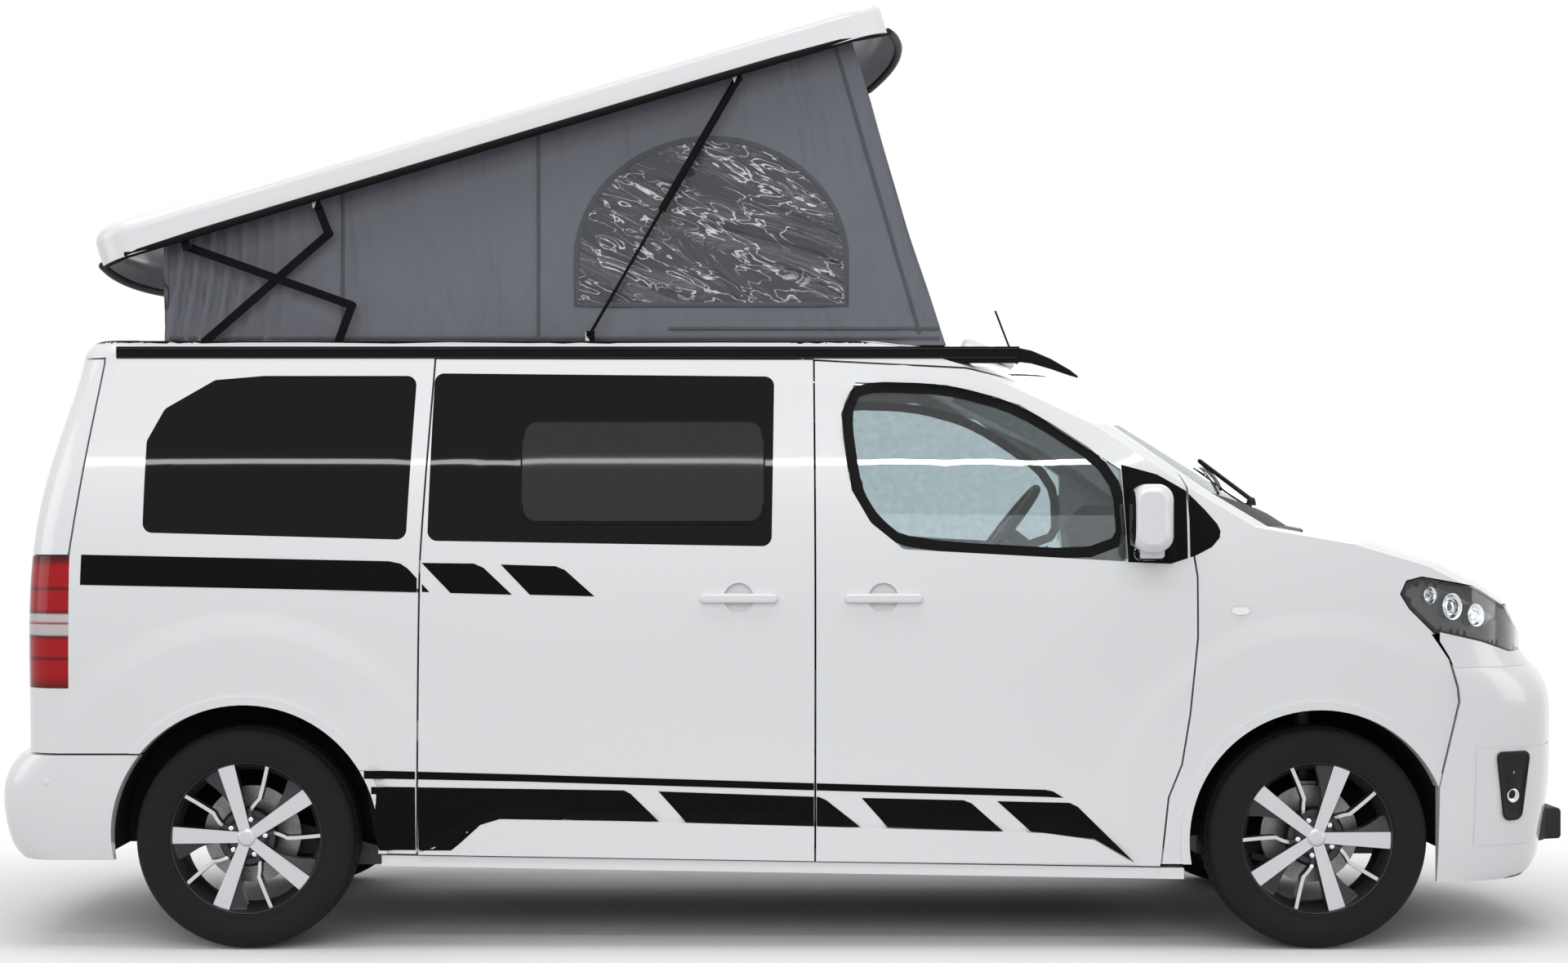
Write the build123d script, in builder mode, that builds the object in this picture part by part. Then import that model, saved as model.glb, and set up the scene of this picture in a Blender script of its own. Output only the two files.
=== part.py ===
from build123d import *
import math
import os

os.makedirs("parts", exist_ok=True)

# Camper van with a lifting roof, millimetres.
# +X is forward, +Y is the left side, +Z is up, the ground is Z = 0.

# ---- driving dimensions ----
overall_length = 4959
end_x = overall_length / 2
front_axle_x = 1598.5
rear_axle_x = -1676.5
wheel_centre_z = 340
tyre_radius = 340
tyre_width = 225
rim_radius = 232
wheel_centre_y = 817.5
kingpin_y = 735
spindle_radius = 30
front_arch_radius = 395
rear_arch_radius = 410
wall = 60
gap = 6
trim_proud = 12
lamp_depth = 48
bonnet_thickness = 26
glass_inset = 3
glass_thickness = 6

# Plan sections of the body: height, half width, rear end, front end.
body_sections = (
    (190, 905, -2380, 2360),
    (500, 945, -2400, 2372),
    (900, 960, -2400, 2382),
    (1280, 935, -2385, 2370),
    (1550, 870, -2330, 2350),
    (1872, 771, -2260, 2300),
)
front_bulge = 230
rear_bulge = 60
front_corner = 330
rear_corner = 130
roof_edge_radius = 70
nose_axis_x = -300
crown_radius = 2720  # across the bonnet
crown_height = 1250
# Middle line over the roof, the windscreen and the bonnet, as X, Z.
nose_line = (
    (0, 1880), (560, 1874), (700, 1850), (843, 1792), (1181, 1611), (1464, 1408),
    (1640, 1292), (1909, 1240), (2123, 1171), (2258, 1097), (2325, 1045), (2362, 960),
)

# The same line where the crown of the bonnet takes over from the windscreen.
crown_line = (
    (-2900, 2700), (1300, 2700), (1400, 1600), (1573, 1410), (1618, 1345), (1690, 1283),
    (1909, 1240), (2123, 1171), (2258, 1097), (2325, 1045), (2362, 960),
)

# Panel outlines in side view, as X, Z.
sliding_outline = ((-1149, 292), (-1149, 331), (-1139, 1179), (-1107, 1810), (60, 1808), (60, 272))
door_outline = (
    (66, 270), (66, 1804), (532, 1780), (656, 1753), (777, 1712), (931, 1629), (1074, 1548),
    (1158, 1485), (1188, 1445), (1198, 1405), (1214, 1204), (1224, 1140), (1224, 955),
    (1201, 721), (1177, 569), (1137, 467), (1117, 255),
)
door_window = ((145, 1640), (175, 1404), (233, 1304), (333, 1223), (1015, 1186), (1000, 1467),
               (697, 1668), (471, 1730), (190, 1738))
sliding_window = ((-1110, 1766), (-60, 1756), (-70, 1232), (-1120, 1249))
quarter_window = ((-1989, 1274), (-1989, 1555), (-1939, 1655), (-1789, 1745), (-1638, 1758),
                  (-1165, 1758), (-1185, 1252))
side_window_left = ((-1120, 1758), (-20, 1756), (-20, 1236), (-1120, 1249))
bumper_edge = ((1936, 966), (1991, 886), (2016, 802), (2021, 759), (1960, 500), (1960, 100))
lamp_outline = (
    (1846, 1087), (1864, 1125), (1909, 1137), (2081, 1107), (2182, 1048), (2500, 1030),
    (2500, 893), (2204, 903), (2093, 938), (1945, 971), (1872, 1044),
)
lamp_inner_y = 560
roof_split_z = 1816
tail_split = ((-2133, 1900), (-2133, 1796), (-2209, 1203), (-2209, 600), (-2209, 100))
rear_bumper_top = 596
rear_bumper_bottom = 272
roof_hole = (-1978, 486, 640)  # rear, front, half width

trough_z = 1838
trough_inner = 676
trough_outer = 732

# ---- lifting roof ----
lift_pivot_x = -2925
lift_pivot_z = 1837
lift_tilt = 16.6
shell_rear_x = -2112
shell_front_x = 520
shell_half_width = 748
shell_rim_z = 1879
shell_skirt = 60
shell_skin = 10
shell_height = 115
link_width = 26
link_thickness = 5
layer_a = 684
layer_c = 692
layer_d = 700
layer_b = 708
strut_y = 700
pin_radius = 5
pin_clearance = 0.3
base_pin_a = (-1845, 1868)
base_pin_d = (-1424, 1862)


def plan_section(height, half_width, rear_x, front_x, inset):
    """One horizontal slice of the body, moved inwards by inset."""
    half = half_width - inset
    with BuildSketch(Plane.XY.offset(height), mode=Mode.PRIVATE) as section:
        with BuildLine():
            Line((rear_x + rear_bulge + inset, -half), (front_x - front_bulge - inset, -half))
            ThreePointArc((front_x - front_bulge - inset, -half), (front_x - inset, 0),
                          (front_x - front_bulge - inset, half))
            Line((front_x - front_bulge - inset, half), (rear_x + rear_bulge + inset, half))
            ThreePointArc((rear_x + rear_bulge + inset, half), (rear_x + inset, 0),
                          (rear_x + rear_bulge + inset, -half))
        make_face()
        fillet(section.vertices().sort_by(Axis.X)[-2:], front_corner - inset)
        fillet(section.vertices().sort_by(Axis.X)[:2], rear_corner - inset)
    return section.sketch


def nose_cut(inset):
    """The solid under the middle line, turned about a far upright axis."""
    with BuildPart(mode=Mode.PRIVATE) as cut:
        with BuildSketch(Plane.XZ) as outline:
            with BuildLine():
                Polyline((nose_axis_x, 50), (nose_axis_x, nose_line[0][1]), *nose_line,
                         (2700, 700), (2700, 50), close=True)
            make_face()
            if inset:
                offset(amount=-inset, kind=Kind.INTERSECTION)
            with Locations((nose_axis_x + 2500, 1500)):
                Rectangle(5000, 5000, mode=Mode.INTERSECT)
        revolve(axis=Axis((nose_axis_x, 0, 0), (0, 0, 1)))
    with BuildPart(mode=Mode.PRIVATE) as rear:
        with BuildSketch(Plane.XY.offset(50)) as floor_plan:
            with Locations((-1500, 0)):
                Rectangle(3000, 2400)
        extrude(amount=nose_line[0][1] - 50 - inset)
    return cut.part + rear.part


def crown_cut(inset):
    """The solid under the crowned bonnet, turned about a low axis along the vehicle."""
    axis_z = crown_height - crown_radius
    with BuildPart(mode=Mode.PRIVATE) as crown:
        with BuildSketch(Plane.XZ) as outline:
            with BuildLine():
                Polyline((-2900, axis_z), *crown_line, (2700, 700), (2700, axis_z), close=True)
            make_face()
            if inset:
                offset(amount=-inset, kind=Kind.INTERSECTION)
            with Locations((0, axis_z + 5000)):
                Rectangle(10000, 10000, mode=Mode.INTERSECT)
        revolve(axis=Axis((0, 0, axis_z), (1, 0, 0)))
    return crown.part


def body_form(inset):
    """The closed outer form of the body, moved inwards by inset."""
    with BuildPart(mode=Mode.PRIVATE) as form:
        for height, half_width, rear_x, front_x in body_sections:
            add(plan_section(height, half_width, rear_x, front_x, inset))
        loft()
        fillet(form.edges().group_by(Axis.Z)[-1], roof_edge_radius)
        add(nose_cut(inset), mode=Mode.INTERSECT)
    return form.part


def side_prism(points, near, far, grow=0):
    """A prism across the vehicle between two distances from the middle, right side."""
    with BuildPart(mode=Mode.PRIVATE) as prism:
        with BuildSketch(Plane.XZ.offset(near)) as outline:
            with BuildLine():
                Polyline(*points, close=True)
            make_face()
            if grow:
                offset(amount=grow)
        extrude(amount=far - near)
    return prism.part


def both_sides(part):
    """The piece and its mirror image."""
    return part + part.mirror(Plane.XZ)


def left_of(part):
    """The mirror image on the left side."""
    return part.mirror(Plane.XZ)


def round_prism(points, near, far, radius, grow=0):
    """A side prism with rounded outline corners."""
    with BuildPart(mode=Mode.PRIVATE) as prism:
        with BuildSketch(Plane.XZ.offset(near)) as outline:
            with BuildLine():
                Polyline(*points, close=True)
            make_face()
            fillet(outline.vertices(), radius)
            if grow:
                offset(amount=grow)
        extrude(amount=far - near)
    return prism.part


def block(x0, x1, y0, y1, z0, z1):
    """A box between two corners."""
    centre = Pos((x0 + x1) / 2, (y0 + y1) / 2, (z0 + z1) / 2)
    return centre * Box(x1 - x0, y1 - y0, z1 - z0, mode=Mode.PRIVATE)


def cross_cylinder(x, z, radius, near, far):
    """A cylinder across the vehicle on the right side."""
    with BuildPart(mode=Mode.PRIVATE) as rod:
        with BuildSketch(Plane.XZ.offset(near)):
            with Locations((x, z)):
                Circle(radius)
        extrude(amount=far - near)
    return rod.part


def bar(start, end, y, thickness, width):
    """A flat link between two pins, on the right side, its inner face at y."""
    start = Vector(start[0], 0, start[1])
    end = Vector(end[0], 0, end[1])
    middle = (start + end) * 0.5
    length = (end - start).length
    angle = math.degrees(math.atan2(end.Z - start.Z, end.X - start.X))
    with BuildPart(mode=Mode.PRIVATE) as link:
        with BuildSketch(Plane.XZ.offset(y)) as outline:
            with Locations(Location((middle.X, middle.Z), angle)):
                SlotCenterToCenter(length, width)
        extrude(amount=thickness)
    return link.part


def turned(point, angle):
    """A point turned nose down about the virtual pivot of the roof."""
    a = math.radians(angle)
    dx = point[0] - lift_pivot_x
    dz = point[1] - lift_pivot_z
    return (lift_pivot_x + dx * math.cos(a) + dz * math.sin(a),
            lift_pivot_z - dx * math.sin(a) + dz * math.cos(a))


def meet(first, first_length, second, second_length, side):
    """The pin where two links of given length meet."""
    dx = second[0] - first[0]
    dz = second[1] - first[1]
    distance = math.hypot(dx, dz)
    along = (first_length ** 2 - second_length ** 2 + distance ** 2) / (2 * distance)
    across = math.sqrt(max(first_length ** 2 - along ** 2, 0))
    x = first[0] + along * dx / distance + side * across * dz / distance
    z = first[1] + along * dz / distance - side * across * dx / distance
    return (x, z)


def save(part, name):
    part.label = name
    export_step(part, f"parts/{name}.step")


outer = body_form(0)
inner = body_form(wall)
skin = outer - inner
outer_glass = body_form(glass_inset)
inner_glass = body_form(glass_inset + glass_thickness)
glass_skin = outer_glass - inner_glass
proud_skin = body_form(-trim_proud) - outer
lamp_back = body_form(lamp_depth)

arch_front = cross_cylinder(front_axle_x, wheel_centre_z, front_arch_radius, 500, 1100)
arch_rear = cross_cylinder(rear_axle_x, wheel_centre_z, rear_arch_radius, 500, 1100)
arches = both_sides(arch_front + arch_rear)

# ---- side panels ----
quarter_cut = round_prism(quarter_window, 400, 1100, 30)
sliding_cut = round_prism(sliding_window, 400, 1100, 30)
left_cut = round_prism(side_window_left, 400, 1100, 30)
door_cut = round_prism(door_window, 400, 1100, 8)
with BuildPart() as pillar_space:
    with BuildSketch(Plane.YZ.offset(300)):
        with BuildLine():
            Polyline((-842, 1392), (842, 1392), (720, 1800), (-720, 1800), close=True)
        make_face()
    extrude(amount=1100)
with BuildPart() as pillar_core:
    with BuildSketch(Plane.YZ.offset(300)):
        with BuildLine():
            Polyline((-836, 1398), (836, 1398), (713, 1806), (-713, 1806), close=True)
        make_face()
    extrude(amount=1100)
door_prism = side_prism(door_outline, 400, 1100) - pillar_space.part
door_space = side_prism(door_outline, 400, 1100, gap) - pillar_core.part
sliding_prism = side_prism(sliding_outline, 400, 1100)
sliding_space = side_prism(sliding_outline, 400, 1100, gap)

quarter_region = ((-2133, roof_split_z), (-1112, roof_split_z), (-1112, 292),
                  (-1990, 310), (-1990, rear_bumper_top + gap), (-2209, rear_bumper_top + gap),
                  (-2209, 1203), (-2133, 1796))
long_region = ((-2133, roof_split_z), (60, roof_split_z), (60, 272),
               (-1990, 310), (-1990, rear_bumper_top + gap), (-2209, rear_bumper_top + gap),
               (-2209, 1203), (-2133, 1796))
tail_lamp_region = ((-2209, 1203), (-2209, 800), (-2600, 800), (-2600, 1203))
tail_lamp_y = 790
lamp_rim = 10
corner_region = ((-2100, rear_bumper_top + gap), (-2600, rear_bumper_top + gap), (-2600, 800),
                 (-2100, 800))
corner_prism = side_prism(corner_region, tail_lamp_y, 1100)
quarter_prism = side_prism(quarter_region, 400, 1100)
long_prism = side_prism(long_region, 400, 1100)

rail_line = ((-2080, 1131), (-2080, 1119), (-1100, 1090), (-1100, 1102))
rail_depth = 14
rail_slot = side_prism(rail_line, 400, 1100) - body_form(rail_depth)
lip_width = 26
lip_front = cross_cylinder(front_axle_x, wheel_centre_z, front_arch_radius + lip_width, 700, 1100)
lip_rear = cross_cylinder(rear_axle_x, wheel_centre_z, rear_arch_radius + lip_width, 700, 1100)
with BuildPart() as side_panels:
    add(skin)
    add(proud_skin & both_sides(lip_rear))
    add(quarter_prism + corner_prism + left_of(long_prism + corner_prism), mode=Mode.INTERSECT)
    add(arches, mode=Mode.SUBTRACT)
    add(rail_slot, mode=Mode.SUBTRACT)
    add(block(-2300, 100, -700, 700, 1790, 1900), mode=Mode.SUBTRACT)
    add(sliding_space, mode=Mode.SUBTRACT)
    add(quarter_cut, mode=Mode.SUBTRACT)
    add(left_of(quarter_cut + left_cut), mode=Mode.SUBTRACT)
save(side_panels.part, "side_panels")

handle_length = 236
handle_height = 28
handle_z = 1075
handle_face_y = 982
handle_back_y = 958
cup_radius = 46
cup_depth = 20
cup_form = outer - body_form(cup_depth)


def handle_at(x):
    """The pull bar and the cup behind it, right side."""
    with BuildPart(mode=Mode.PRIVATE) as pull:
        with BuildSketch(Plane.XZ.offset(handle_back_y)):
            with Locations((x, handle_z)):
                RectangleRounded(handle_length, handle_height, handle_height / 2 - 1)
        extrude(amount=handle_face_y - handle_back_y)
        fillet(pull.faces().sort_by(Axis.Y)[0].edges(), 8)
        for end in (-1, 1):
            with BuildSketch(Plane.XZ.offset(900)):
                with Locations((x + end * (handle_length / 2 - 24), handle_z)):
                    Circle(handle_height / 2 - 3)
            extrude(amount=handle_back_y - 900 + 4)
    return pull.part


# The step moulding along the foot of the doors.
step_outline = ((-1139, 300), (-1060, 330), (-947, 389), (-898, 402), (-828, 404), (60, 379),
                (763, 359), (915, 337), (1040, 262), (60, 272), (-1149, 292))
step_form = proud_skin & side_prism(step_outline, 700, 1100)
sliding_handle_x = -170
door_handle_x = 270
with BuildPart() as sliding_door:
    add(skin)
    add(step_form)
    add(sliding_prism, mode=Mode.INTERSECT)
    add(sliding_cut, mode=Mode.SUBTRACT)
    add(cup_form & cross_cylinder(sliding_handle_x, handle_z, cup_radius, 800, 1100), mode=Mode.SUBTRACT)
    add(handle_at(sliding_handle_x))
striker_low = block(-1165, -1130, -925, -895, 640, 700) - side_panels.part
striker_high = block(-1165, -1120, -925, -895, 1150, 1190) - side_panels.part
with BuildPart() as sliding_door_seated:
    add(sliding_door.part)
    add(striker_low)
    add(striker_high)
save(sliding_door_seated.part, "sliding_door")

# ---- front doors, with a rebate at the rear edge that lets the door swing ----
rebate = block(60, 90, -1100, -400, 200, 1850) & body_form(22)
# Mirror head as sections across the vehicle: distance from the middle, centre X, depth, height.
mirror_sections = (
    (976, 1076, 96, 176),
    (1010, 1074, 124, 200),
    (1080, 1071, 128, 204),
    (1140, 1066, 104, 186),
    (1157, 1062, 76, 156),
)
mirror_centre_z = 1319
with BuildPart() as mirror_head:
    for distance, centre_x, depth, height in mirror_sections:
        with BuildSketch(Plane.XZ.offset(distance)):
            with Locations((centre_x, mirror_centre_z)):
                RectangleRounded(depth, height, depth * 0.38)
    loft()
    with BuildSketch(Plane.YZ.offset(990)) as mirror_glass:
        with Locations((-1068, mirror_centre_z)):
            RectangleRounded(150, 168, 36)
    extrude(amount=24, mode=Mode.SUBTRACT)
with BuildPart() as mirror_arm:
    for distance, centre_x, depth, height in ((880, 1085, 120, 70), (960, 1082, 96, 44), (1030, 1078, 74, 30)):
        with BuildSketch(Plane.XZ.offset(distance)):
            with Locations((centre_x, 1212)):
                RectangleRounded(depth, height, height * 0.4)
    loft()
with BuildPart() as door_right:
    add(skin)
    add(step_form)
    add(door_prism, mode=Mode.INTERSECT)
    add(door_cut, mode=Mode.SUBTRACT)
    add(rebate, mode=Mode.SUBTRACT)
    add(cup_form & cross_cylinder(door_handle_x, handle_z, cup_radius, 800, 1100), mode=Mode.SUBTRACT)
    add(handle_at(door_handle_x))
    add(mirror_head.part)
    add(mirror_arm.part)
save(door_right.part, "door_right")
with BuildPart() as door_left:
    add(left_of(door_right.part))
save(door_left.part, "door_left")

with BuildPart() as door_glass_right:
    add(glass_skin)
    add(door_cut, mode=Mode.INTERSECT)
save(door_glass_right.part, "door_glass_right")
with BuildPart() as door_glass_left:
    add(left_of(door_glass_right.part))
save(door_glass_left.part, "door_glass_left")

# ---- roof panel with the windscreen frame ----
with BuildPart() as screen_prism:
    with BuildSketch(Plane.YZ.offset(600)):
        with BuildLine():
            ThreePointArc((-795, 1396), (0, 1312), (795, 1396))
            Line((795, 1396), (672, 1770))
            ThreePointArc((672, 1770), (0, 1784), (-672, 1770))
            Line((-672, 1770), (-795, 1396))
        make_face()
    extrude(amount=1400)
roof_region = ((-2500, roof_split_z), (63, roof_split_z), (63, 1397), (1500, 1397), (1500, 2000),
               (-2500, 2000))
roof_rear, roof_front, roof_half = roof_hole
with BuildPart() as roof_panel:
    add(skin)
    add(both_sides(side_prism(roof_region, 0, 1100)), mode=Mode.INTERSECT)
    add(both_sides(door_space), mode=Mode.SUBTRACT)
    add(screen_prism.part, mode=Mode.SUBTRACT)
    add(block(roof_rear, roof_front, -roof_half, roof_half, 1700, 2000), mode=Mode.SUBTRACT)
    add(both_sides(block(-2040, 540, trough_inner, trough_outer, trough_z, 2000)), mode=Mode.SUBTRACT)
    for (pin_x, pin_z), reach in ((base_pin_a, layer_a + 6), (base_pin_d, layer_d + 6)):
        add(both_sides(block(pin_x - 14, pin_x + 14, 670, 681, 1830, pin_z + 12)))
        add(both_sides(cross_cylinder(pin_x, pin_z, pin_radius, 672, reach)))
    add(both_sides(block(-650, -622, 670, 688, 1830, 1904)))
save(roof_panel.part, "roof_panel")

# ---- tailgate ----
tail_region = ((-2133 - gap, roof_split_z - gap), (-2133 - gap, 1796), (-2209 - gap, 1203),
               (-2209 - gap, rear_bumper_top + gap), (-2600, rear_bumper_top + gap),
               (-2600, roof_split_z - gap))
tail_lamp_prism = side_prism(tail_lamp_region, tail_lamp_y, 1100)
tail_lamp_space = side_prism(tail_lamp_region, tail_lamp_y, 1100, 4)
with BuildPart() as tail_window_prism:
    with BuildSketch(Plane.YZ.offset(-2600)) as tail_window:
        with BuildLine():
            Polyline((-745, 1235), (-690, 1745), (690, 1745), (745, 1235), close=True)
        make_face()
        fillet(tail_window.vertices(), 50)
    extrude(amount=500)
tail_lower = block(-2700, -2100, -1000, -tail_lamp_y + gap, 500, 800 + 4)
with BuildPart() as tailgate:
    add(skin)
    add(both_sides(side_prism(tail_region, 0, 1100)), mode=Mode.INTERSECT)
    add(both_sides(tail_lamp_space), mode=Mode.SUBTRACT)
    add(both_sides(tail_lower), mode=Mode.SUBTRACT)
    add(tail_window_prism.part, mode=Mode.SUBTRACT)
save(tailgate.part, "tailgate")
with BuildPart() as tailgate_glass:
    add(glass_skin)
    add(tail_window_prism.part, mode=Mode.INTERSECT)
save(tailgate_glass.part, "tailgate_glass")
tail_lamp_hollow = side_prism(tail_lamp_region, tail_lamp_y + lamp_rim, 1100, -lamp_rim)
with BuildPart() as tail_lamps:
    add(skin)
    add(both_sides(tail_lamp_prism), mode=Mode.INTERSECT)
    add((outer_glass - lamp_back) & both_sides(tail_lamp_hollow), mode=Mode.SUBTRACT)
save(tail_lamps.part, "tail_lamps")

# ---- fixed glass ----
with BuildPart() as fixed_glass:
    add(glass_skin)
    add(quarter_cut + sliding_cut + left_of(quarter_cut + left_cut) + screen_prism.part,
        mode=Mode.INTERSECT)
save(fixed_glass.part, "fixed_glass")

# ---- front end ----
with BuildPart() as bonnet_prism:
    with BuildSketch(Plane.XY.offset(850)) as bonnet_plan:
        with BuildLine():
            ThreePointArc((1573, -797), (1668, 0), (1573, 797))
            Line((1573, 797), (2600, 797))
            Line((2600, 797), (2600, -797))
            Line((2600, -797), (1573, -797))
        make_face()
        fillet(bonnet_plan.vertices().sort_by(Axis.X)[:2], 30)
    extrude(amount=600)
with BuildPart() as bonnet_space:
    with BuildSketch(Plane.XY.offset(850)):
        with BuildLine():
            ThreePointArc((1567, -803), (1662, 0), (1567, 803))
            Line((1567, 803), (2600, 803))
            Line((2600, 803), (2600, -803))
            Line((2600, -803), (1567, -803))
        make_face()
    extrude(amount=600)
lamp_prism = side_prism(lamp_outline, lamp_inner_y, 1100)
lamp_space = side_prism(lamp_outline, lamp_inner_y - 4, 1100, 4)
bonnet_hinge = (1556, 1262)
grille_slot = 490
grille_bar = 40
grille_slot_height = 22
grille_pitch = 38
grille_z0 = 893
grille_z1 = 1030
grille_space = block(2100, 2600, -lamp_inner_y - 4, lamp_inner_y + 4, 850, grille_z1 + 4)
with BuildPart() as bonnet:
    add(skin)
    add(bonnet_prism.part, mode=Mode.INTERSECT)
    add(both_sides(lamp_space), mode=Mode.SUBTRACT)
    add(block(1400, 2600, -1000, 1000, 800, grille_z1 + 4), mode=Mode.SUBTRACT)
    add(both_sides(bar(bonnet_hinge, (1660, 1205), 640, 20, 20)))
    add(both_sides(cross_cylinder(*bonnet_hinge, 6 + pin_clearance, 630, 670)), mode=Mode.SUBTRACT)
save(bonnet.part, "bonnet")
lamp_hollow = side_prism(lamp_outline, lamp_inner_y + lamp_rim, 1100, -lamp_rim)
with BuildPart() as headlamps:
    add(skin)
    add(both_sides(lamp_prism), mode=Mode.INTERSECT)
    add((outer_glass - lamp_back) & both_sides(lamp_hollow), mode=Mode.SUBTRACT)
save(headlamps.part, "headlamps")
with BuildPart() as grille:
    add(skin)
    add(block(2100, 2600, -lamp_inner_y, lamp_inner_y, grille_z0, grille_z1), mode=Mode.INTERSECT)
    with BuildSketch(Plane.YZ.offset(2200)):
        with Locations((0, (grille_z0 + grille_z1) / 2)):
            with GridLocations(grille_slot + grille_bar, grille_pitch, 2, 3):
                RectangleRounded(grille_slot, grille_slot_height, grille_slot_height / 2 - 1)
    extrude(amount=400, mode=Mode.SUBTRACT)
save(grille.part, "grille")
wing_region = ((1204, 1397), (1600, 1397), (2600, 1300), (2600, 966), (1936, 966), (1991, 886),
               (2016, 802), (2021, 759), (1960, 500), (1960, 262), (1000, 262), (1000, 1397))
with BuildPart() as front_wings:
    add(skin)
    add(proud_skin & both_sides(lip_front))
    add(both_sides(side_prism(wing_region, 500, 1100)), mode=Mode.INTERSECT)
    add(both_sides(door_space), mode=Mode.SUBTRACT)
    add(arches, mode=Mode.SUBTRACT)
    add(bonnet_space.part, mode=Mode.SUBTRACT)
    add(both_sides(lamp_space), mode=Mode.SUBTRACT)
    add(block(1000, 1700, -800, 800, 1200, 1500), mode=Mode.SUBTRACT)
save(front_wings.part, "front_wings")
with BuildPart() as cowl:
    add(skin)
    add(block(1200, 1700, -798, 798, 1200, 1450), mode=Mode.INTERSECT)
    add(bonnet_space.part, mode=Mode.SUBTRACT)
    add(screen_prism.part, mode=Mode.SUBTRACT)
    add(block(1000, 1400, -1000, 1000, 1396, 1500), mode=Mode.SUBTRACT)
    add(both_sides(block(1538, 1700, 634, 666, 1100, 1400)), mode=Mode.SUBTRACT)
    add(both_sides(block(1546, 1564, 620, 634, 1200, 1272)))
    add(both_sides(block(1546, 1564, 666, 680, 1200, 1272)))
    add(both_sides(cross_cylinder(*bonnet_hinge, 6, 625, 675)))
save(cowl.part, "cowl")

# ---- bumpers ----
bumper_front_sections = ((205, 900, 2412), (300, 925, 2452), (430, 942, 2470), (560, 950, 2479),
                         (700, 956, 2480), (770, 958, 2472), (824, 960, 2447), (872, 960, 2400))
bumper_thickness = 75
fog_outline = ((2228, 600), (2246, 334), (2323, 334), (2360, 600))
fog_depth = 22
fog_lamp_radius = 42
intake_slot = 1020
intake_slot_height = 30
intake_pitch = 46
intake_centre_z = 420


def bumper_form(sections, inset, front):
    """The closed form of a bumper, moved inwards by inset."""
    with BuildPart(mode=Mode.PRIVATE) as form:
        for height, half_width, end in sections:
            if front:
                add(plan_section(height, half_width, -2000, end, inset))
            else:
                add(plan_section(height, half_width, end, 2300, inset))
        loft()
    return form.part


bumper_front_outer = bumper_form(bumper_front_sections, 0, True)
fog_recess = (bumper_front_outer - bumper_form(bumper_front_sections, fog_depth, True)) & side_prism(
    fog_outline, 560, 1100)
with BuildPart() as front_bumper:
    add(bumper_front_outer)
    with BuildSketch(Plane.XY.offset(100)) as inside:
        add(plan_section(0, 960, -2000, 2440, bumper_thickness))
    extrude(inside.sketch, amount=1000, mode=Mode.SUBTRACT)
    add(both_sides(side_prism(((1997, 886), (2022, 802), (2027, 759), (1966, 500), (1966, 100),
                               (end_x, 100), (end_x, 886)), 0, 1100)), mode=Mode.INTERSECT)
    add(both_sides(fog_recess), mode=Mode.SUBTRACT)
    with BuildSketch(Plane.YZ.offset(2200)):
        with Locations((0, intake_centre_z)):
            with GridLocations(1, intake_pitch, 1, 4):
                RectangleRounded(intake_slot, intake_slot_height, intake_slot_height / 2 - 1)
    extrude(amount=400, mode=Mode.SUBTRACT)
save(front_bumper.part, "front_bumper")
bumper_rear_sections = ((272, 905, -2425), (330, 925, -2462), (400, 940, -2477), (480, 948, -2480),
                        (550, 950, -2460), (596, 950, -2424))
with BuildPart() as rear_bumper:
    add(bumper_form(bumper_rear_sections, 0, False))
    with BuildSketch(Plane.XY.offset(100)) as inside:
        add(plan_section(0, 945, -2440, 2300, bumper_thickness))
    extrude(inside.sketch, amount=1000, mode=Mode.SUBTRACT)
    add(both_sides(side_prism(((-2000, 100), (-2000, 700), (-end_x, 700), (-end_x, 100)), 0, 1100)),
        mode=Mode.INTERSECT)
    add(arches, mode=Mode.SUBTRACT)
save(rear_bumper.part, "rear_bumper")

# ---- floor with the wheel housings ----
floor_top = 430
floor_bottom = 300
tub_inner_front = 470
tub_inner_rear = 640
tub_skin = 12
firewall_x = 1480
with BuildPart() as floor_pan:
    add(block(-2318, firewall_x, -900, 900, floor_bottom, floor_top))
    add(block(firewall_x - 20, firewall_x, -780, 780, floor_bottom, 1400))
    add(both_sides(block(2230, 2290, 395, 450, 350, 960)))
    add(block(2230, 2400, -860, 860, 905, 985))
    add(both_sides(cross_cylinder(front_axle_x, wheel_centre_z, front_arch_radius + tub_skin,
                                  tub_inner_front - tub_skin, 1000)))
    add(both_sides(cross_cylinder(rear_axle_x, wheel_centre_z, rear_arch_radius + tub_skin,
                                  tub_inner_rear - tub_skin, 1000)))
    add(inner, mode=Mode.INTERSECT)
    add(both_sides(block(firewall_x - 20, 2460, 395, 450, floor_bottom, 380)))
    add(both_sides(cross_cylinder(front_axle_x, wheel_centre_z, front_arch_radius,
                                  tub_inner_front, 1100)), mode=Mode.SUBTRACT)
    add(both_sides(cross_cylinder(rear_axle_x, wheel_centre_z, rear_arch_radius,
                                  tub_inner_rear, 1100)), mode=Mode.SUBTRACT)
    add(block(-3000, 3000, -1200, 1200, -300, floor_bottom), mode=Mode.SUBTRACT)
    add(both_sides(block(-1160, 1190, 838, 1000, 200, floor_top + 10)), mode=Mode.SUBTRACT)
    add(block(1000, 1230, -1000, -846, 200, 1300), mode=Mode.SUBTRACT)
    add(block(1000, 1230, 846, 1000, 200, 1300), mode=Mode.SUBTRACT)
    add(rear_bumper.part, mode=Mode.SUBTRACT)
    add(front_bumper.part, mode=Mode.SUBTRACT)
save(floor_pan.part, "floor_pan")

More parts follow.
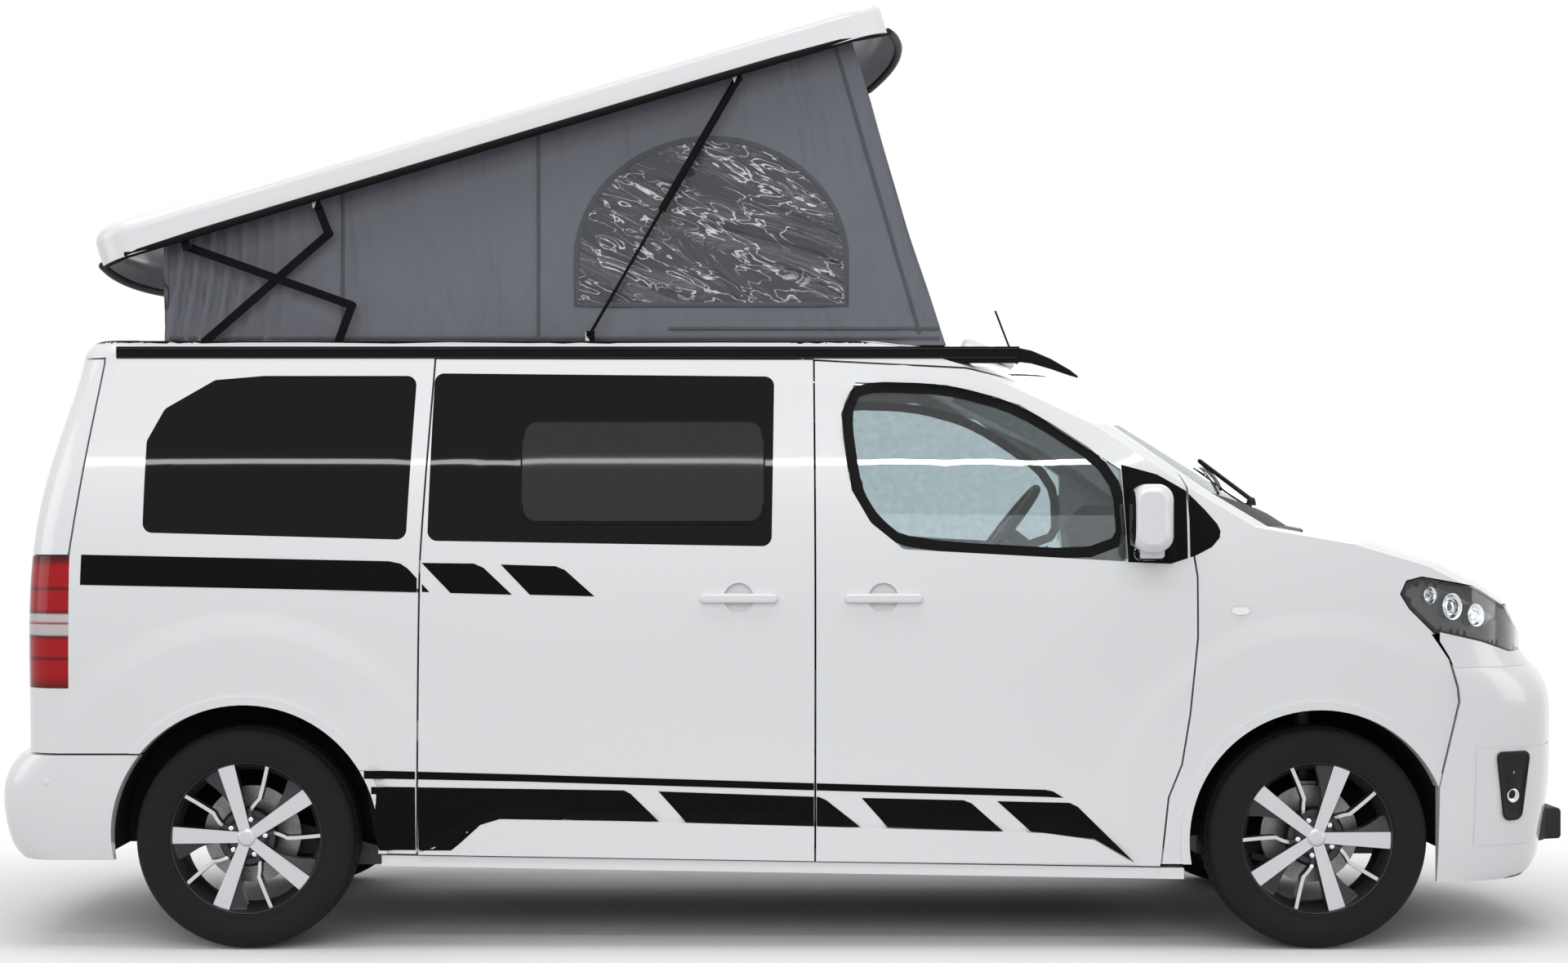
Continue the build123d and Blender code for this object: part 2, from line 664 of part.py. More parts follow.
jack_pad_z = 256
sill_outline = ((-1262, 287), (1112, 249), (1192, 248), (1192, 214), (-1262, 254))
with BuildPart() as sill_trim:
    add(both_sides(side_prism(sill_outline, 800, 905)))
    add(both_sides(block(-1100, 1050, 700, 788, jack_pad_z, floor_bottom)))
    add(both_sides(block(-1100, 1050, 780, 820, jack_pad_z + 8, floor_bottom)))
save(sill_trim.part, "sill_trim")

# ---- wheels ----
disc_radius = 150
hub_radius = 75
spoke_count = 5
spoke_root = 62
spoke_tip = 92
spoke_back_y = 57
spoke_face_y = 88
dish_y = 82
cap_radius = 27.5
nut_circle_radius = 56
nut_seat_radius = 11
# Each wheel: name, axle, side and the angle of its first spoke.
for side_name, x, y_sign, first_spoke in (("front_right", front_axle_x, -1, 70), ("front_left", front_axle_x, 1, 70),
                                          ("rear_right", rear_axle_x, -1, 34), ("rear_left", rear_axle_x, 1, 34)):
    wheel_plane = Plane(origin=(x, y_sign * wheel_centre_y, wheel_centre_z), x_dir=(1, 0, 0),
                        z_dir=(0, y_sign, 0))
    half = tyre_width / 2
    with BuildPart() as tyre:
        with BuildSketch(Plane.XY) as tyre_section:
            with BuildLine():
                Polyline((rim_radius, -half + 8), (rim_radius + 40, -half), (tyre_radius - 30, -half + 2),
                         (tyre_radius, -half + 30), (tyre_radius, half - 30),
                         (tyre_radius - 30, half - 2), (rim_radius + 40, half), (rim_radius, half - 8),
                         close=True)
            make_face()
        revolve(axis=Axis.Y)
    tyre_part = wheel_plane.location * (Rot(90, 0, 0) * tyre.part)
    save(tyre_part, f"tyre_{side_name}")
    with BuildPart() as rim:
        with BuildSketch(Plane.XY) as rim_section:
            with BuildLine():
                Polyline((rim_radius, -half + 8), (rim_radius, half - 8), (rim_radius - 12, half - 8),
                         (rim_radius - 20, half - 25), (rim_radius - 20, -half + 20),
                         (rim_radius - 12, -half + 8), close=True)
            make_face()
        revolve(axis=Axis.Y)
        with BuildSketch(Plane.XZ.offset(-spoke_back_y)):
            Circle(hub_radius)
            with PolarLocations(0, spoke_count, start_angle=y_sign * first_spoke):
                with BuildLine():
                    Polyline((30, -spoke_root / 2), (rim_radius - 16, -spoke_tip / 2),
                             (rim_radius - 16, spoke_tip / 2), (30, spoke_root / 2), close=True)
                make_face()
        extrude(amount=-(spoke_face_y - spoke_back_y))
        with BuildSketch(Plane.XZ.offset(-(spoke_back_y - 4))):
            with PolarLocations(0, spoke_count, start_angle=y_sign * first_spoke + 180 / spoke_count):
                with BuildLine():
                    Polyline((60, -8), (150, -8), (rim_radius - 16, -22), (rim_radius - 16, -10),
                             (156, 6), (60, 8), close=True)
                make_face()
        extrude(amount=-18)
        with BuildSketch(Plane.XZ.offset(-(half - 70))):
            Circle(hub_radius)
        extrude(amount=-30)
        with BuildSketch(Plane.XY) as dish:
            with BuildLine():
                Polyline((0, dish_y), (hub_radius - 15, dish_y - 2), (rim_radius - 30, spoke_face_y + 0.5),
                         (rim_radius - 30, half), (0, half), close=True)
            make_face()
        revolve(axis=Axis.Y, mode=Mode.SUBTRACT)
        with BuildSketch(Plane.XZ.offset(-(dish_y - 8))):
            with PolarLocations(nut_circle_radius, spoke_count, start_angle=y_sign * first_spoke + 180 / spoke_count):
                Circle(nut_seat_radius)
        extrude(amount=-20, mode=Mode.SUBTRACT)
        with BuildSketch(Plane.XZ.offset(-(dish_y - 4))):
            Circle(cap_radius)
        extrude(amount=-7)
        with BuildSketch(Plane.XZ.offset(-(half - 70))):
            Circle(spindle_radius + pin_clearance)
        extrude(amount=-34, mode=Mode.SUBTRACT)
    rim_part = wheel_plane.location * (Rot(90, 0, 0) * rim.part)
    save(rim_part, f"rim_{side_name}")

# ---- knuckles, axles ----
for side_name, y_sign in (("right", -1), ("left", 1)):
    with BuildPart() as knuckle:
        add(cross_cylinder(front_axle_x, wheel_centre_z, disc_radius, wheel_centre_y - 60,
                           wheel_centre_y - 35))
        add(cross_cylinder(front_axle_x, wheel_centre_z, 60, 712, wheel_centre_y + 42))
        add(cross_cylinder(front_axle_x, wheel_centre_z, spindle_radius, 712, wheel_centre_y + 74))
        add(block(front_axle_x - 26, front_axle_x + 26, -752, -700, 250, 500))
        add(block(front_axle_x - 26, front_axle_x + 26, -710, -630, 440, 500))
        with BuildSketch(Plane.XY.offset(222)):
            with Locations((front_axle_x, -kingpin_y)):
                Circle(8)
        extrude(amount=40)
        with BuildSketch(Plane.XY.offset(450)):
            with Locations((front_axle_x, -655)):
                Circle(28)
        extrude(amount=262)
    part = knuckle.part if y_sign < 0 else left_of(knuckle.part)
    save(part, f"knuckle_{side_name}")

with BuildPart() as front_subframe:
    add(block(1300, 1900, -450, 450, 240, floor_bottom))
    with BuildSketch(Plane.XY.offset(222)) as arm_plan:
        with BuildLine():
            Polyline((1480, -440), (1580, -720), (1617, -720), (1717, -440), close=True)
        make_face()
        with Locations((front_axle_x, -kingpin_y)):
            Circle(17)
    extrude(amount=22)
    with BuildSketch(Plane.XY.offset(222)):
        with Locations((front_axle_x, -kingpin_y)):
            Circle(8 + pin_clearance)
    extrude(amount=22, mode=Mode.SUBTRACT)
    mirror(about=Plane.XZ)
save(front_subframe.part, "front_subframe")
rear_arm_y = 660
with BuildPart() as rear_axle:
    add(both_sides(cross_cylinder(rear_axle_x, wheel_centre_z, 60, rear_arm_y, wheel_centre_y + 42)))
    add(both_sides(cross_cylinder(rear_axle_x, wheel_centre_z, spindle_radius, rear_arm_y,
                                  wheel_centre_y + 74)))
    add(both_sides(cross_cylinder(rear_axle_x, wheel_centre_z, disc_radius, wheel_centre_y - 60,
                                  wheel_centre_y - 35)))
    add(both_sides(side_prism(((rear_axle_x - 50, 385), (rear_axle_x + 60, 385), (-1290, 290),
                               (-1290, 235), (rear_axle_x + 50, 285), (rear_axle_x - 50, 285)),
                              rear_arm_y - 8, rear_arm_y + 36)))
    add(both_sides(block(-1420, -1290, 500, rear_arm_y + 36, 235, 290)))
    add(block(-1440, -1300, -600, 600, 235, floor_bottom))
save(rear_axle.part, "rear_axle")
with BuildPart() as engine:
    add(block(1700, 2220, -330, 330, floor_bottom, 980))
    add(block(1560, 1760, -380, 380, floor_bottom, 640))
save(engine.part, "engine")

# ---- cabin ----
wheel_hub = Vector(760, 380, 1275)
column_direction = Vector(-0.79, 0, 0.61)
steering_plane = Plane(origin=wheel_hub, x_dir=(0, 1, 0), z_dir=column_direction)
with BuildPart() as dashboard:
    with BuildSketch(Plane.XZ.offset(-780)):
        with BuildLine():
            Polyline((1150, 900), (1150, 1150), (1030, 1200), (1010, 1300), (1080, 1360),
                     (1200, 1335), (1440, 1215), (1460, 1200), (1460, 1100), (1300, 900), close=True)
        make_face()
    extrude(amount=1560)
    add(block(1180, 1300, -200, 200, floor_top, 960))
    with BuildSketch(steering_plane.offset(-520)):
        Circle(46)
    extrude(amount=370)
    with BuildSketch(steering_plane.offset(-330)):
        Circle(24.5)
    extrude(amount=200, mode=Mode.SUBTRACT)
save(dashboard.part, "dashboard")
with BuildPart() as steering_wheel:
    with BuildSketch(Plane.XZ) as grip:
        with Locations((178, 0)):
            Circle(15)
    revolve(axis=Axis.Z)
    with BuildSketch(Plane.XY.offset(-12)):
        Circle(55)
    extrude(amount=24)
    with BuildSketch(Plane.XY.offset(-8)):
        Rectangle(350, 26)
        with Locations((0, -88)):
            Rectangle(30, 176)
    extrude(amount=16)
    with BuildSketch(Plane.XY.offset(-325)):
        Circle(24)
    extrude(amount=325)
save(steering_plane.location * steering_wheel.part, "steering_wheel")
with BuildPart() as seats:
    for y in (-420, 420):
        add(block(150, 700, y - 250, y + 250, floor_top + 290, floor_top + 430))
        add(block(60, 200, y - 240, y + 240, floor_top + 400, floor_top + 1030))
        add(block(90, 160, y - 120, y + 120, floor_top + 1060, floor_top + 1220))
        add(block(118, 132, y - 60, y - 46, floor_top + 1000, floor_top + 1100))
        add(block(118, 132, y + 46, y + 60, floor_top + 1000, floor_top + 1100))
        add(block(200, 650, y - 200, y + 200, floor_top, floor_top + 300))
    add(block(-1500, -950, -580, 580, floor_top + 250, floor_top + 420))
    add(block(-1620, -1480, -580, 580, floor_top + 380, floor_top + 1000))
    add(block(-1560, -1000, -520, 520, floor_top, floor_top + 260))
save(seats.part, "seats")

# ---- roof rails ----
with BuildPart() as roof_rails:
    add(both_sides(block(-2100, 700, -785, -735, 1800, 1850)))
    add(outer, mode=Mode.SUBTRACT)
save(roof_rails.part, "roof_rails")


# ---- lifting roof ----
roof_pin_b = (-1487, 2298)
roof_pin_c = (-1893, 2166)
strut_base = (-636, 1892)
strut_roof = (-174, 2691)
strut_body_length = 475
strut_overlap = 62


def along(start, end, distance):
    """The point at a distance from start towards end."""
    length = math.hypot(end[0] - start[0], end[1] - start[1])
    share = distance / length
    return (start[0] + (end[0] - start[0]) * share, start[1] + (end[1] - start[1]) * share)



def lifted(part):
    """Turn a piece from the closed place to the raised place."""
    return part.rotate(Axis((lift_pivot_x, 0, lift_pivot_z), (0, 1, 0)), -lift_tilt)


with BuildPart() as roof_shell:
    with BuildSketch(Plane.XY.offset(shell_rim_z)) as rim_plan:
        with BuildLine():
            Line((shell_rear_x, -shell_half_width), (shell_front_x - 90, -shell_half_width))
            ThreePointArc((shell_front_x - 90, -shell_half_width), (shell_front_x, 0),
                          (shell_front_x - 90, shell_half_width))
            Line((shell_front_x - 90, shell_half_width), (shell_rear_x, shell_half_width))
            ThreePointArc((shell_rear_x, shell_half_width), (shell_rear_x - 50, 0),
                          (shell_rear_x, -shell_half_width))
        make_face()
        fillet(rim_plan.vertices(), 120)
    extrude(amount=shell_height)
    fillet(roof_shell.faces().sort_by(Axis.Z)[-1].edges(), 45)
    offset(amount=-shell_skin, openings=roof_shell.faces().sort_by(Axis.Z)[0])
roof_pins_closed = (turned(roof_pin_b, lift_tilt), turned(roof_pin_c, lift_tilt),
                    turned(strut_roof, lift_tilt))
pin_reach = (layer_b - 1, layer_c - 1, strut_y - 8)
with BuildPart() as roof_top:
    add(roof_shell.part)
    for (pin_x, pin_z), reach in zip(roof_pins_closed, pin_reach):
        add(both_sides(block(pin_x - 14, pin_x + 14, 716, 726, pin_z - 12, 1960)))
        add(both_sides(block(pin_x - 14, pin_x + 14, 716, 742, 1890, 1960)))
        add(both_sides(cross_cylinder(pin_x, pin_z, pin_radius, reach, 720)))
save(lifted(roof_top.part), "roof_shell")


length_a = 520
length_b = 95
length_c = 545
length_d = 129
pin_ab = meet(base_pin_a, length_a, roof_pin_b, length_b, 1)
pin_cd = meet(base_pin_d, length_d, roof_pin_c, length_c, 1)
for name, start, end, layer, bored in (
    ("link_a", base_pin_a, pin_ab, layer_a, base_pin_a),
    ("link_b", roof_pin_b, pin_ab, layer_b, roof_pin_b),
    ("link_c", roof_pin_c, pin_cd, layer_c, roof_pin_c),
    ("link_d", base_pin_d, pin_cd, layer_d, base_pin_d),
):
    with BuildPart() as link:
        add(both_sides(bar(start, end, layer, link_thickness, link_width)))
        add(both_sides(cross_cylinder(*bored, pin_radius + pin_clearance, 600, 760)),
            mode=Mode.SUBTRACT)
    save(link.part, name)


def strut_tube(start, end, radius, y):
    """A round rod between two points on the right side."""
    start = Vector(start[0], -y, start[1])
    end = Vector(end[0], -y, end[1])
    with BuildPart(mode=Mode.PRIVATE) as tube:
        with BuildSketch(Plane(origin=start, z_dir=end - start)):
            Circle(radius)
        extrude(amount=(end - start).length)
    return tube.part


strut_body_end = along(strut_roof, strut_base, strut_body_length)
strut_bore_end = along(strut_roof, strut_base, 20)
strut_rod_end = along(strut_roof, strut_base, strut_body_length - strut_overlap)
with BuildPart() as strut_cylinder:
    add(both_sides(strut_tube(strut_roof, strut_body_end, 12, strut_y)))
    add(both_sides(cross_cylinder(*strut_roof, 13, strut_y - 7, strut_y + 7)))
    add(both_sides(strut_tube(strut_bore_end, strut_base, 5 + pin_clearance, strut_y)),
        mode=Mode.SUBTRACT)
    add(both_sides(cross_cylinder(*strut_roof, pin_radius + pin_clearance, 600, 760)),
        mode=Mode.SUBTRACT)
save(strut_cylinder.part, "strut_cylinder")
with BuildPart() as strut_rod:
    add(both_sides(strut_tube(strut_base, strut_rod_end, 5, strut_y)))
    add(both_sides(cross_cylinder(*strut_base, 11, strut_y - 6, strut_y + 6)))
    add(both_sides(cross_cylinder(*strut_base, 6, 600, 760)), mode=Mode.SUBTRACT)
save(strut_rod.part, "strut_rod")

# ---- canvas ----
canvas_half = 640
canvas_skin = 6
canvas_rear = -1978
canvas_foot_z = 1862
canvas_foot_x = 483
canvas_lean = math.degrees(math.atan2(280, 913))
ceiling_z = shell_rim_z + shell_height - shell_skin - pin_clearance
tent_height = 3200
with BuildPart() as tent_canvas:
    with BuildSketch(Plane.XZ.offset(-canvas_half)) as tent_side:
        with BuildLine():
            front_top = canvas_foot_x - (tent_height - canvas_foot_z) * math.tan(math.radians(canvas_lean))
            Polyline((canvas_rear, canvas_foot_z), (canvas_foot_x, canvas_foot_z),
                     (front_top, tent_height), (canvas_rear, tent_height), close=True)
        make_face()
    extrude(amount=2 * canvas_half)
    offset(amount=-canvas_skin, openings=[tent_canvas.faces().sort_by(Axis.Z)[0],
                                          tent_canvas.faces().sort_by(Axis.Z)[-1]])
    add(lifted(block(-4500, 2500, -900, 900, 500, ceiling_z)), mode=Mode.INTERSECT)
save(tent_canvas.part, "tent_canvas")
print("done")
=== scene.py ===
import bpy
import bmesh
from math import asin, cos, degrees, exp, hypot, pi, radians, sin, sqrt
from mathutils import Vector, Matrix, noise
from mathutils.bvhtree import BVHTree


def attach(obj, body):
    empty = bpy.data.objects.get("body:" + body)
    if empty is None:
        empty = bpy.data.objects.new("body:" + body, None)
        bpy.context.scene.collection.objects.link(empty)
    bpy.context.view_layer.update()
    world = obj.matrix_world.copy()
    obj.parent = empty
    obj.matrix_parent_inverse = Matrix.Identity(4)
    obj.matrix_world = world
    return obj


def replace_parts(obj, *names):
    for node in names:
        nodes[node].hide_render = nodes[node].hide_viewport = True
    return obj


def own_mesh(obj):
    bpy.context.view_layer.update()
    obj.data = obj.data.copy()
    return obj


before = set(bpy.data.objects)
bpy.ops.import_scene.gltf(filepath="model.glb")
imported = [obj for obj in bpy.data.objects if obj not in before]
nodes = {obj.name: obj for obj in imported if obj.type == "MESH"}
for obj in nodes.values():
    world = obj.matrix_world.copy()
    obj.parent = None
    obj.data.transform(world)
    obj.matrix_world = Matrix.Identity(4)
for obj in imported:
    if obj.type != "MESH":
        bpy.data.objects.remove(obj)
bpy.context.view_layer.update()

scene = bpy.context.scene
mm = 0.001
sides = ((-1, "Right"), (1, "Left"))
axleNames = ("front", "rear")
axles = {"front": (1.5985, 0.34), "rear": (-1.6765, 0.34)}
wheelMiddle = 0.8175
# the line the roof shell turns about, and how far it stands open at rest
hinge = dict(x=-2.925, z=1.837, tilt=radians(16.6))
print("stage: frame loaded")

# how every finish varies: broad noise moves its roughness, fine noise its colour and its relief
vary = dict(broad=3.0, detail=3, colorFrom=0.3, colorTo=0.7, smoother=0.9, rougher=1.12,
            reliefDepth=0.0006, coatRoughness=0.05)
# colours are linear; grain is the noise scale in cycles a metre
finishes = {
    "whitePaint": dict(color=(0.78, 0.785, 0.79), roughness=0.3, coat=0.55, speckle=0.012, grain=900,
                       bump=0.004),
    "blackFilm": dict(color=(0.004, 0.004, 0.0032), roughness=0.45, speckle=0.15, grain=700, bump=0.01,
                      specular=0.05),
    "grainedBlack": dict(color=(0.010, 0.010, 0.011), roughness=0.55, speckle=0.3, grain=700, bump=0.12,
                         specular=0.2),
    "glossBlack": dict(color=(0.006, 0.006, 0.007), roughness=0.14, bump=0.004, specular=0.2),
    "underseal": dict(color=(0.012, 0.012, 0.012), roughness=0.85, speckle=0.35, grain=160, bump=0.25,
                      specular=0.2),
    "tyreRubber": dict(color=(0.010, 0.010, 0.0105), roughness=0.7, speckle=0.3, bump=0.15, specular=0.2),
    "alloyBright": dict(color=(0.60, 0.61, 0.63), roughness=0.32, metallic=1.0, speckle=0.05, grain=350,
                        bump=0.02),
    "alloyDark": dict(color=(0.045, 0.046, 0.05), roughness=0.4, metallic=0.6, speckle=0.15, bump=0.03),
    "castIron": dict(color=(0.10, 0.095, 0.09), roughness=0.6, metallic=0.7, speckle=0.35, grain=220,
                     bump=0.2),
    "brakeSteel": dict(color=(0.30, 0.295, 0.29), roughness=0.38, metallic=1.0, speckle=0.2, grain=160,
                       bump=0.08),
    "chrome": dict(color=(0.8, 0.81, 0.82), roughness=0.1, metallic=1.0, speckle=0.03, grain=300, bump=0.01),
    "blackSteel": dict(color=(0.005, 0.005, 0.006), roughness=0.5, speckle=0.2, bump=0.04, specular=0.06),
    "seatCloth": dict(color=(0.028, 0.029, 0.032), roughness=0.9, speckle=0.45, grain=900, bump=0.35),
    "dashPlastic": dict(color=(0.009, 0.009, 0.010), roughness=0.8, speckle=0.25, grain=800, bump=0.15,
                        specular=0.15),
    "wheelLeather": dict(color=(0.008, 0.008, 0.009), roughness=0.6, speckle=0.3, bump=0.2, specular=0.15),
    "sealRubber": dict(color=(0.005, 0.005, 0.005), roughness=0.6, speckle=0.25, bump=0.08, specular=0.1),
    "headlining": dict(color=(0.32, 0.32, 0.31), roughness=0.9, speckle=0.15, grain=900, bump=0.2),
    "plateWhite": dict(color=(0.62, 0.62, 0.60), roughness=0.35, speckle=0.04, grain=600, bump=0.03),
    "mirrorGlass": dict(color=(0.7, 0.72, 0.74), roughness=0.03, metallic=1.0, speckle=0.02, grain=30,
                        bump=0.0),
    "lampInner": dict(color=(0.035, 0.036, 0.04), roughness=0.22, metallic=0.5, speckle=0.3, grain=60,
                      bump=0.1),
}
glasses = {
    "privacyGlass": dict(color=(0.004, 0.004, 0.0045), transmission=0.0, roughness=0.03, specular=0.14),
    "openingGlass": dict(color=(0.030, 0.030, 0.031), transmission=0.0, roughness=0.05, specular=0.14),
    "clearGlass": dict(color=(0.60, 0.68, 0.70), transmission=1.0, roughness=0.0, specular=0.3),
    "lampCover": dict(color=(0.93, 0.95, 0.97), transmission=1.0, roughness=0.01, specular=0.5),
}


# a socket given as a value is linked, anything else is set
def feed(tree, node, inputs):
    for key, value in inputs.items():
        if isinstance(value, bpy.types.NodeSocket):
            tree.links.new(value, node.inputs[key])
        else:
            node.inputs[key].default_value = value
    return node


def addNode(tree, kind, inputs=None, **settings):
    node = tree.nodes.new("ShaderNode" + kind)
    for key, value in settings.items():
        setattr(node, key, value)
    return feed(tree, node, inputs or {})


def addRamp(tree, factor, stops):
    node = addNode(tree, "ValToRGB", {"Fac": factor})
    elements = node.color_ramp.elements
    for element, (position, color) in zip(elements, (stops[0], stops[-1])):
        element.position = position
        element.color = color
    for position, color in stops[1:-1]:
        elements.new(position).color = color
    return node.outputs["Color"]


def shaderOf(material):
    return material.node_tree.nodes["Principled BSDF"]


def makeFinish(name, color, roughness, metallic=0.0, coat=0.0, speckle=0.1, grain=500, bump=0.05,
               specular=0.5):
    material = bpy.data.materials.new(name)
    material.use_nodes = True
    tree = material.node_tree
    place = addNode(tree, "TexCoord").outputs["Object"]
    fineNoise = addNode(tree, "TexNoise", {"Vector": place, "Scale": grain, "Detail": vary["detail"]})
    broadNoise = addNode(tree, "TexNoise", {"Vector": place, "Scale": vary["broad"]})
    fine, broad = fineNoise.outputs["Fac"], broadNoise.outputs["Fac"]
    dark = (*[c * (1 - speckle) for c in color], 1)
    pale = (*[min(c * (1 + speckle), 1) for c in color], 1)
    sheen = addNode(tree, "MapRange", {"Value": broad, "To Min": roughness * vary["smoother"],
                                       "To Max": min(roughness * vary["rougher"], 1)})
    relief = addNode(tree, "Bump", {"Height": fine, "Strength": bump, "Distance": vary["reliefDepth"]},
                     name="relief")
    feed(tree, shaderOf(material), {
        "Base Color": addRamp(tree, fine, [(vary["colorFrom"], dark), (vary["colorTo"], pale)]),
        "Roughness": sheen.outputs["Result"], "Normal": relief.outputs["Normal"], "Metallic": metallic,
        "Specular IOR Level": specular, "Coat Weight": coat, "Coat Roughness": vary["coatRoughness"]})
    return material


def makeGlass(name, color, transmission, roughness, specular):
    material = makeFinish(name, color, roughness, speckle=0.05, grain=40, bump=0.0, specular=specular)
    shaderOf(material).inputs["Transmission Weight"].default_value = transmission
    return material


# tail lamp: bands of red, deep red and pale across the height from low to high
lens = dict(low=0.80, high=1.21, red=(0.46, 0.002, 0.006, 1), pale=(0.66, 0.60, 0.60, 1),
            deep=(0.10, 0.001, 0.002, 1), ribs=60, ribShade=0.72)
lensBands = ((0.0, "deep"), (0.09, "red"), (0.20, "red"), (0.22, "deep"), (0.24, "red"), (0.36, "red"),
             (0.385, "deep"), (0.40, "pale"), (0.47, "pale"), (0.48, "red"), (0.50, "pale"), (0.545, "pale"),
             (0.56, "deep"), (0.585, "red"), (0.72, "red"), (0.74, "deep"), (0.76, "red"), (0.90, "red"),
             (0.955, "deep"), (1.0, "deep"))


def makeLens(name):
    material = makeFinish(name, (0.42, 0.01, 0.012), 0.12, speckle=0.25, grain=70, bump=0.2, specular=0.25)
    tree = material.node_tree
    place = addNode(tree, "TexCoord").outputs["Object"]
    split = addNode(tree, "SeparateXYZ", {0: place})
    height = addNode(tree, "MapRange", {"Value": split.outputs["Z"], "From Min": lens["low"],
                                        "From Max": lens["high"]})
    bands = addRamp(tree, height.outputs["Result"], [(position, lens[tint]) for position, tint in lensBands])
    ribs = addNode(tree, "TexWave", {"Vector": place, "Scale": lens["ribs"]})
    shade = addNode(tree, "MapRange", {"Value": ribs.outputs["Fac"], "To Min": lens["ribShade"]})
    blend = addNode(tree, "Mix", {"Factor": 1.0, "A": bands, "B": shade.outputs["Result"]}, data_type="RGBA",
                    blend_type="MULTIPLY")
    feed(tree, shaderOf(material), {"Base Color": blend.outputs["Result"]})
    return material


# pressed arch flares: a shallow relief round each axle, drawn by the bump node
flare = dict(radius=0.70, width=0.09, depth=0.010)


def addFlare(material):
    tree = material.node_tree
    place = addNode(tree, "TexCoord").outputs["Object"]
    steps = []
    for x, z in axles.values():
        shift = addNode(tree, "VectorMath", {0: place, 1: (x, 0, z)}, operation="SUBTRACT")
        flat = addNode(tree, "VectorMath", {0: shift.outputs[0], 1: (1, 0, 1)}, operation="MULTIPLY")
        length = addNode(tree, "VectorMath", {0: flat.outputs[0]}, operation="LENGTH")
        step = addNode(tree, "MapRange", {"Value": length.outputs["Value"], "From Max": flare["radius"],
                                          "From Min": flare["radius"] - flare["width"],
                                          "To Min": flare["depth"], "To Max": 0},
                       interpolation_type="SMOOTHSTEP")
        steps.append(step.outputs["Result"])
    total = addNode(tree, "Math", dict(enumerate(steps)), operation="ADD")
    pressed = addNode(tree, "Bump", {"Height": total.outputs[0], "Strength": 1, "Distance": 1})
    feed(tree, tree.nodes["relief"], {"Normal": pressed.outputs["Normal"]})


look = {name: makeFinish(name, **values) for name, values in finishes.items()}
look.update({name: makeGlass(name, **values) for name, values in glasses.items()})
look["tailLens"] = makeLens("tailLens")
look["bodyPaint"] = makeFinish("bodyPaint", **finishes["whitePaint"])
addFlare(look["bodyPaint"])

wheelEnds = [f"{end}_{side}" for end in axleNames for side in ("right", "left")]
coats = {
    "bodyPaint": ["side_panels", "sliding_door", "door_right", "door_left", "front_wings"],
    "whitePaint": ["roof_panel", "tailgate", "bonnet", "front_bumper", "rear_bumper", "roof_shell",
                   "sill_trim"],
    "grainedBlack": ["cowl"],
    "sealRubber": ["roof_rails"],
    "glossBlack": ["grille"],
    "blackSteel": ["strut_cylinder", "strut_rod", "link_a", "link_b", "link_c", "link_d"],
    "privacyGlass": ["fixed_glass", "tailgate_glass"],
    "clearGlass": ["door_glass_right", "door_glass_left"],
    "lampCover": ["headlamps"],
    "tailLens": ["tail_lamps"],
    "underseal": ["floor_pan"],
    "castIron": ["knuckle_right", "knuckle_left", "front_subframe", "rear_axle", "engine"],
    "dashPlastic": ["dashboard"],
    "seatCloth": ["seats"],
    "wheelLeather": ["steering_wheel"],
    "headlining": ["tent_canvas"],
    "tyreRubber": [f"tyre_{place}" for place in wheelEnds],
    "alloyDark": [f"rim_{place}" for place in wheelEnds],
}
for finishName, nodeNames in coats.items():
    for nodeName in nodeNames:
        mesh = nodes[nodeName].data
        mesh.materials.clear()
        mesh.materials.append(look[finishName])


def paintWhere(nodeName, finishName, test):
    mesh = nodes[nodeName].data
    mesh.materials.append(look[finishName])
    index = len(mesh.materials) - 1
    for polygon in mesh.polygons:
        if test(polygon.center, polygon.normal):
            polygon.material_index = index


# zones of a node that take another finish, tested by a face's centre and normal
zones = dict(discFrom=0.75, discRadius=0.152, footX=(1.02, 1.16), footY=(0.962, 1.02), footZ=(1.17, 1.30),
             grilleHalf=0.56, grilleZ=(0.30, 0.55), screenFrom=0.3, rimTop=1.8785, rimHalf=0.745,
             stripFoot=1.8625, stripFrom=0.645)


def between(value, limits):
    return limits[0] < value < limits[1]


def brakeDisc(end):
    x, z = axles[end]
    return lambda c, n: abs(c.y) > zones["discFrom"] and hypot(c.x - x, c.z - z) < zones["discRadius"]


def mirrorFoot(c, n):
    return between(abs(c.y), zones["footY"]) and between(c.z, zones["footZ"]) and between(c.x, zones["footX"])


def lowerGrille(c, n):
    slats = abs(c.y) < zones["grilleHalf"] and between(c.z, zones["grilleZ"]) and abs(n.x) < 0.6
    return slats or n.z < -0.7


def closedHeight(c):
    return hinge["z"] + (c.z - hinge["z"]) * cos(hinge["tilt"]) - (c.x - hinge["x"]) * sin(hinge["tilt"])


for nodeName, end in (("knuckle_right", "front"), ("knuckle_left", "front"), ("rear_axle", "rear")):
    paintWhere(nodeName, "brakeSteel", brakeDisc(end))
paintWhere("fixed_glass", "clearGlass", lambda c, n: c.x > zones["screenFrom"])
for side in ("right", "left"):
    paintWhere(f"door_{side}", "glossBlack", mirrorFoot)
paintWhere("front_bumper", "grainedBlack", lowerGrille)
paintWhere("roof_shell", "blackSteel",
           lambda c, n: closedHeight(c) < zones["rimTop"] and abs(c.y) < zones["rimHalf"])
paintWhere("roof_panel", "blackSteel",
           lambda c, n: c.z > zones["stripFoot"] and abs(c.y) > zones["stripFrom"])
print("stage: finishes")


def addObject(name, data):
    item = bpy.data.objects.new(name, data)
    scene.collection.objects.link(item)
    return item


